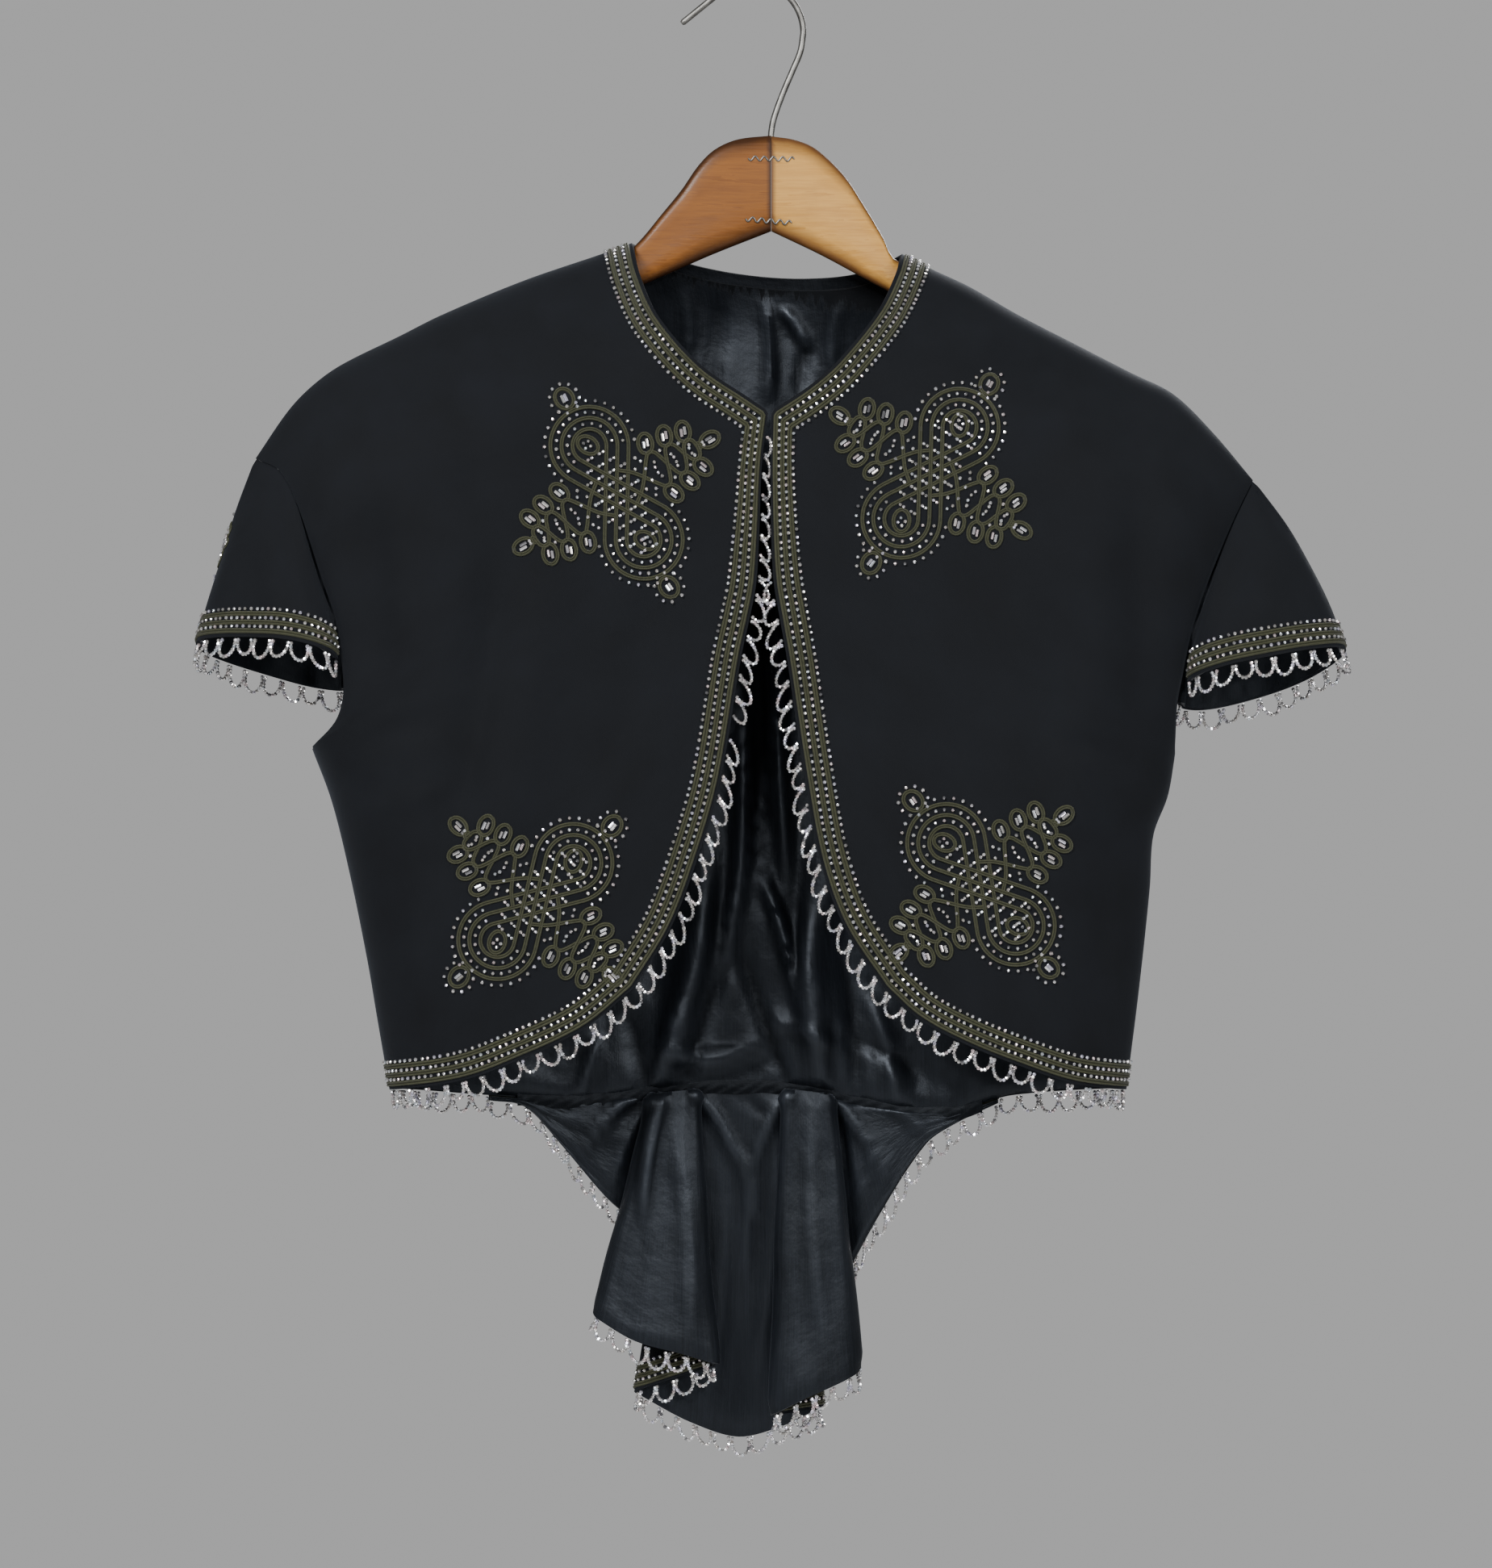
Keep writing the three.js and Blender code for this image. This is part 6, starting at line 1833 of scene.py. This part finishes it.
# ---- the hanger ----
@dataclass
class HangerArm:
    """One shaped half of the wooden hanger."""

    side: Side
    top: Rows
    bottom: Rows
    tip: float
    neck: float
    finish: Material
    half: float = 5.5
    sections: int = 90
    around: int = 20

    def top_z(self, x: Array) -> Array:
        """The height of the upper rim."""
        own = Line(self.top).read(x)
        low, high = BODY.shoulder_z(x - 1), BODY.shoulder_z(x + 1)
        crest = np.minimum(BODY.shoulder_z(x), (low + high) / 2) - 2.5 * np.hypot(1, (high - low) / 2)
        outside = x < self.neck if self.side is Side.LEFT else x > self.neck
        return np.where(outside, crest, own)

    def build(self) -> None:
        """Makes the half, with its joint face at the middle."""
        way = self.side.value
        start = CENTRE_X + way * 0.1
        x = start + (self.tip - start) * (1 - (1 - np.linspace(0, 1, self.sections + 1)) ** 1.25)
        high, low = self.top_z(x), Line(self.bottom).read(x)
        end = quarter(np.abs(self.tip - x) / 13 + 0.02)
        size = (high - low) / 2 * end
        centre = np.where(end < 1, high - 0.6 - size, (high + low) / 2)
        turn = 2 * math.pi * (np.arange(self.around) + 0.5) / self.around
        power = 0.62
        cos = np.sign(np.cos(turn)) * np.abs(np.cos(turn)) ** power
        sin = np.sign(np.sin(turn)) * np.abs(np.sin(turn)) ** power
        thick = self.half * np.sqrt(np.maximum(end, 0.05))
        y = BODY.middle_y(x)[:, None] + thick[:, None] * cos[None, :]
        z = centre[:, None] + size[:, None] * sin[None, :]
        grid = np.stack(np.broadcast_arrays(x[:, None], y, z), axis=-1)
        points = grid.reshape(-1, 3)
        quads, tris = outward(points, *bar_faces(*grid.shape[:2]))
        rim = ease((np.abs(sin) - 0.62) / 0.38)
        parts = Parts()
        joint = ease(1.4 - np.abs(x - start) / 0.5)
        parts.add(points, quads, tris, tint=np.maximum(rim[None, :], joint[:, None]).ravel())
        word = self.side.word
        half = parts.mesh(f"hanger_half_{word}", sharp=50)
        dress(half, f"wood_{word}", (f"hanger_arm_{word}",), self.finish)


@dataclass
class HangerMetal:
    """The wire hook, and the two wavy fasteners that hold the halves together."""

    radius: float = 29.2
    centre_z: float = -27.4
    wire: float = 1.8
    tip_angle: float = 129.0
    tip_length: float = 27.5

    def path(self) -> Array:
        """The hook's middle line."""
        end = math.radians(self.tip_angle)
        turn = np.linspace(0, end, 60)
        ring = np.stack([self.radius * np.cos(turn), self.centre_z + self.radius * np.sin(turn)], axis=-1)
        tip = ring[-1] + np.array([-math.sin(end), math.cos(end)]) * self.tip_length
        stem = Line([(CENTRE_X, -99), (CENTRE_X, -90), (CENTRE_X, -84), (12.5, -76), (17.5, -62), (23, -49),
                     (27.5, -38), ring[0]], 60).points
        share = np.linspace(0, 1, 14)[1:, None]
        return np.concatenate([stem[:-1], ring, ring[-1] * (1 - share) + tip * share])

    def tube(self, line: Array, radius: float, sides: int) -> Parts:
        """A round bar along a line in the hanger's plane, with a slightly rounded end."""
        centre = np.stack([line[:, 0], np.zeros(len(line)), line[:, 1]], axis=-1)
        along = unit(np.gradient(centre, axis=0))
        across = np.tile([0.0, 1.0, 0.0], (len(centre), 1))
        up = np.cross(along, across)
        turn = 2 * math.pi * np.arange(sides) / sides
        left = travelled(centre)
        end = quarter((left[-1] - left) / radius + 0.3)
        ring = across[:, None] * np.cos(turn)[None, :, None] + up[:, None] * np.sin(turn)[None, :, None]
        points = (centre[:, None] + ring * (radius * end)[:, None, None]).reshape(-1, 3)
        quads, tris = outward(points, *bar_faces(len(centre), sides))
        parts = Parts()
        parts.add(points, quads, tris)
        return parts

    def build(self) -> None:
        """Makes the hook and the fasteners."""
        hook = self.tube(resampled(self.path(), 1.2), self.wire, 18).mesh("hook_wire")
        dress(hook, "steel", ("hanger_hook",), FINISHES.steel)
        fasteners = (("fastener_top", 11.0, -99.4, -0.02), ("fastener_low", 9.5, -134.6, -0.09))
        for name, x0, z0, lean in fasteners:
            along = np.linspace(-13, 13, 90)
            wave = 1.25 * np.sin(along * 2 * math.pi / 5.2)
            x = x0 + along * math.cos(lean) - wave * math.sin(lean)
            z = z0 + along * math.sin(lean) + wave * math.cos(lean)
            y = BODY.middle_y(x) - 5.45
            parts = self.tube(np.stack([x, z], axis=-1), 0.5, 8)
            parts.points[0][:, 1] += np.repeat(y, 8)
            dress(parts.mesh(name), "steel", (), FINISHES.steel)


# ---- the studio ----
@dataclass
class Studio:
    """A pale floor, soft light and the camera."""

    camera_place: Point = (-0.0033, -3.0, -0.4533)
    lens: float = 121.46
    floor_z: float = -1.72
    floor_reach: float = 4.0

    def light(self, name: str, place: Point, size: float, power: float) -> None:
        """Hangs a soft lamp that looks at the middle of the shrug."""
        lamp = bpy.data.lights.new(name, "AREA")
        lamp.size = size
        lamp.energy = power
        obj = linked(name, lamp)
        obj.location = place
        aim = np.array([0.0, 0.0, -0.42]) - np.array(place)
        pitch = math.atan2(math.hypot(aim[0], aim[1]), -aim[2])
        obj.rotation_euler = (pitch, 0.0, math.atan2(aim[1], aim[0]) - math.pi / 2)

    def build(self) -> None:
        """Sets up the floor, the world, the lamps and the camera."""
        mesh = bpy.data.meshes.new("floor")
        corners = [(x * self.floor_reach, y * self.floor_reach, self.floor_z)
                   for x, y in ((-1, -1), (1, -1), (1, 1), (-1, 1))]
        mesh.from_pydata(corners, [], [(0, 1, 2, 3)])
        floor = linked("floor", mesh)
        material, _, _ = shader("pale_floor", {"Base Color": (0.62, 0.62, 0.62, 1.0), "Roughness": 0.85})
        mesh.materials.append(material)
        world = bpy.data.worlds.new("studio")
        bpy.context.scene.world = world
        world.use_nodes = True
        background = world.node_tree.nodes["Background"]
        hand = Tree(world.node_tree)
        seen = hand.add("ShaderNodeLightPath").outputs["Is Camera Ray"]
        hand.feed(background, {"Color": (0.60, 0.60, 0.60, 1.0), "Strength": hand.linear(seen, 0.42, 0.28)})
        self.light("key", (-1.3, -2.3, 1.1), 0.8, 78.0)
        self.light("fill", (1.7, -2.2, 0.5), 1.0, 34.0)
        self.light("sparkle_left", (-0.5, -2.9, 0.35), 0.12, 15.0)
        self.light("sparkle_right", (0.7, -2.8, 0.15), 0.12, 12.0)
        self.light("behind", (0.9, 2.4, 0.9), 1.2, 50.0)
        data = bpy.data.cameras.new("camera")
        data.sensor_fit = "VERTICAL"
        data.sensor_height = 36.0
        data.lens = self.lens
        data.clip_end = 60.0
        camera = linked("camera", data)
        camera.location = self.camera_place
        camera.rotation_euler = (math.pi / 2, 0.0, 0.0)
        bpy.context.scene.camera = camera


@dataclass
class Shrug:
    """The whole garment on its hanger."""

    fronts: list[FrontPanel] = field(default_factory=lambda: [
        FrontPanel(Side.LEFT, (0.30, 0.50), 0.099, missing_loops=(14,)),
        FrontPanel(Side.RIGHT, (0.30, 0.50), 0.094, missing_loops=tuple(range(7)))])
    knots: list[KnotPlace] = field(default_factory=lambda: [
        KnotPlace("top_left", -75, -292, -60),
        KnotPlace("top_right", 99, -281, 57.5),
        KnotPlace("low_left", -120, -518.5, 45.5),
        KnotPlace("low_right", 127, -509, -50)])
    sleeves: list[Sleeve] = field(default_factory=lambda: [
        Sleeve(Side.LEFT, (-311, -377), (-229.4, -384), (-229, -399), 27, 9, -5, 2, (0.25, 0.11), 0.016,
               ((-0.42, 0.12, -2.5), (-0.15, 0.1, 2.0), (0.35, 0.13, 2.5), (0.62, 0.1, -2.0)), 0.1),
        Sleeve(Side.RIGHT, (333, -379), (243, -396), (240.6, -407), 27, 6, -12, 6, (0.25, 0.11), 0.0152,
               ((-0.5, 0.12, -2.5), (-0.2, 0.1, 2.2), (0.2, 0.12, -2.0), (0.5, 0.12, 2.5)), 0.24)])

    def build(self) -> None:
        """Makes every piece in order."""
        for panel in self.fronts:
            panel.build()
        for number, knot in enumerate(self.knots):
            knot.build(71.0 + 3 * number)
        for sleeve in self.sleeves:
            sleeve.build()
        back = BackPanel()
        back.build()
        Tail().build(back)
        HangerArm(
            Side.LEFT,
            [(11, -85.6), (-8, -87.8), (-21, -93.6), (-30.5, -103), (-39.7, -116.5), (-51, -130.5),
             (-61, -143), (-68, -150.5)],
            [(11, -140), (-24, -154), (-60, -170), (-130, -199), (-186, -220)],
            -204, -68, FINISHES.wood_left).build()
        HangerArm(
            Side.RIGHT,
            [(11, -86), (24, -88), (36, -93), (52, -108), (62, -123), (75, -145), (79, -154.5), (85, -158.5)],
            [(11, -140), (40, -154), (75, -173), (150, -211), (206, -239)],
            226, 85, FINISHES.wood_right).build()
        HangerMetal().build()


def main() -> None:
    """Builds the studio and the shrug."""
    logging.basicConfig(level=logging.INFO)
    Studio().build()
    Shrug().build()


if __name__ == "__main__":
    main()
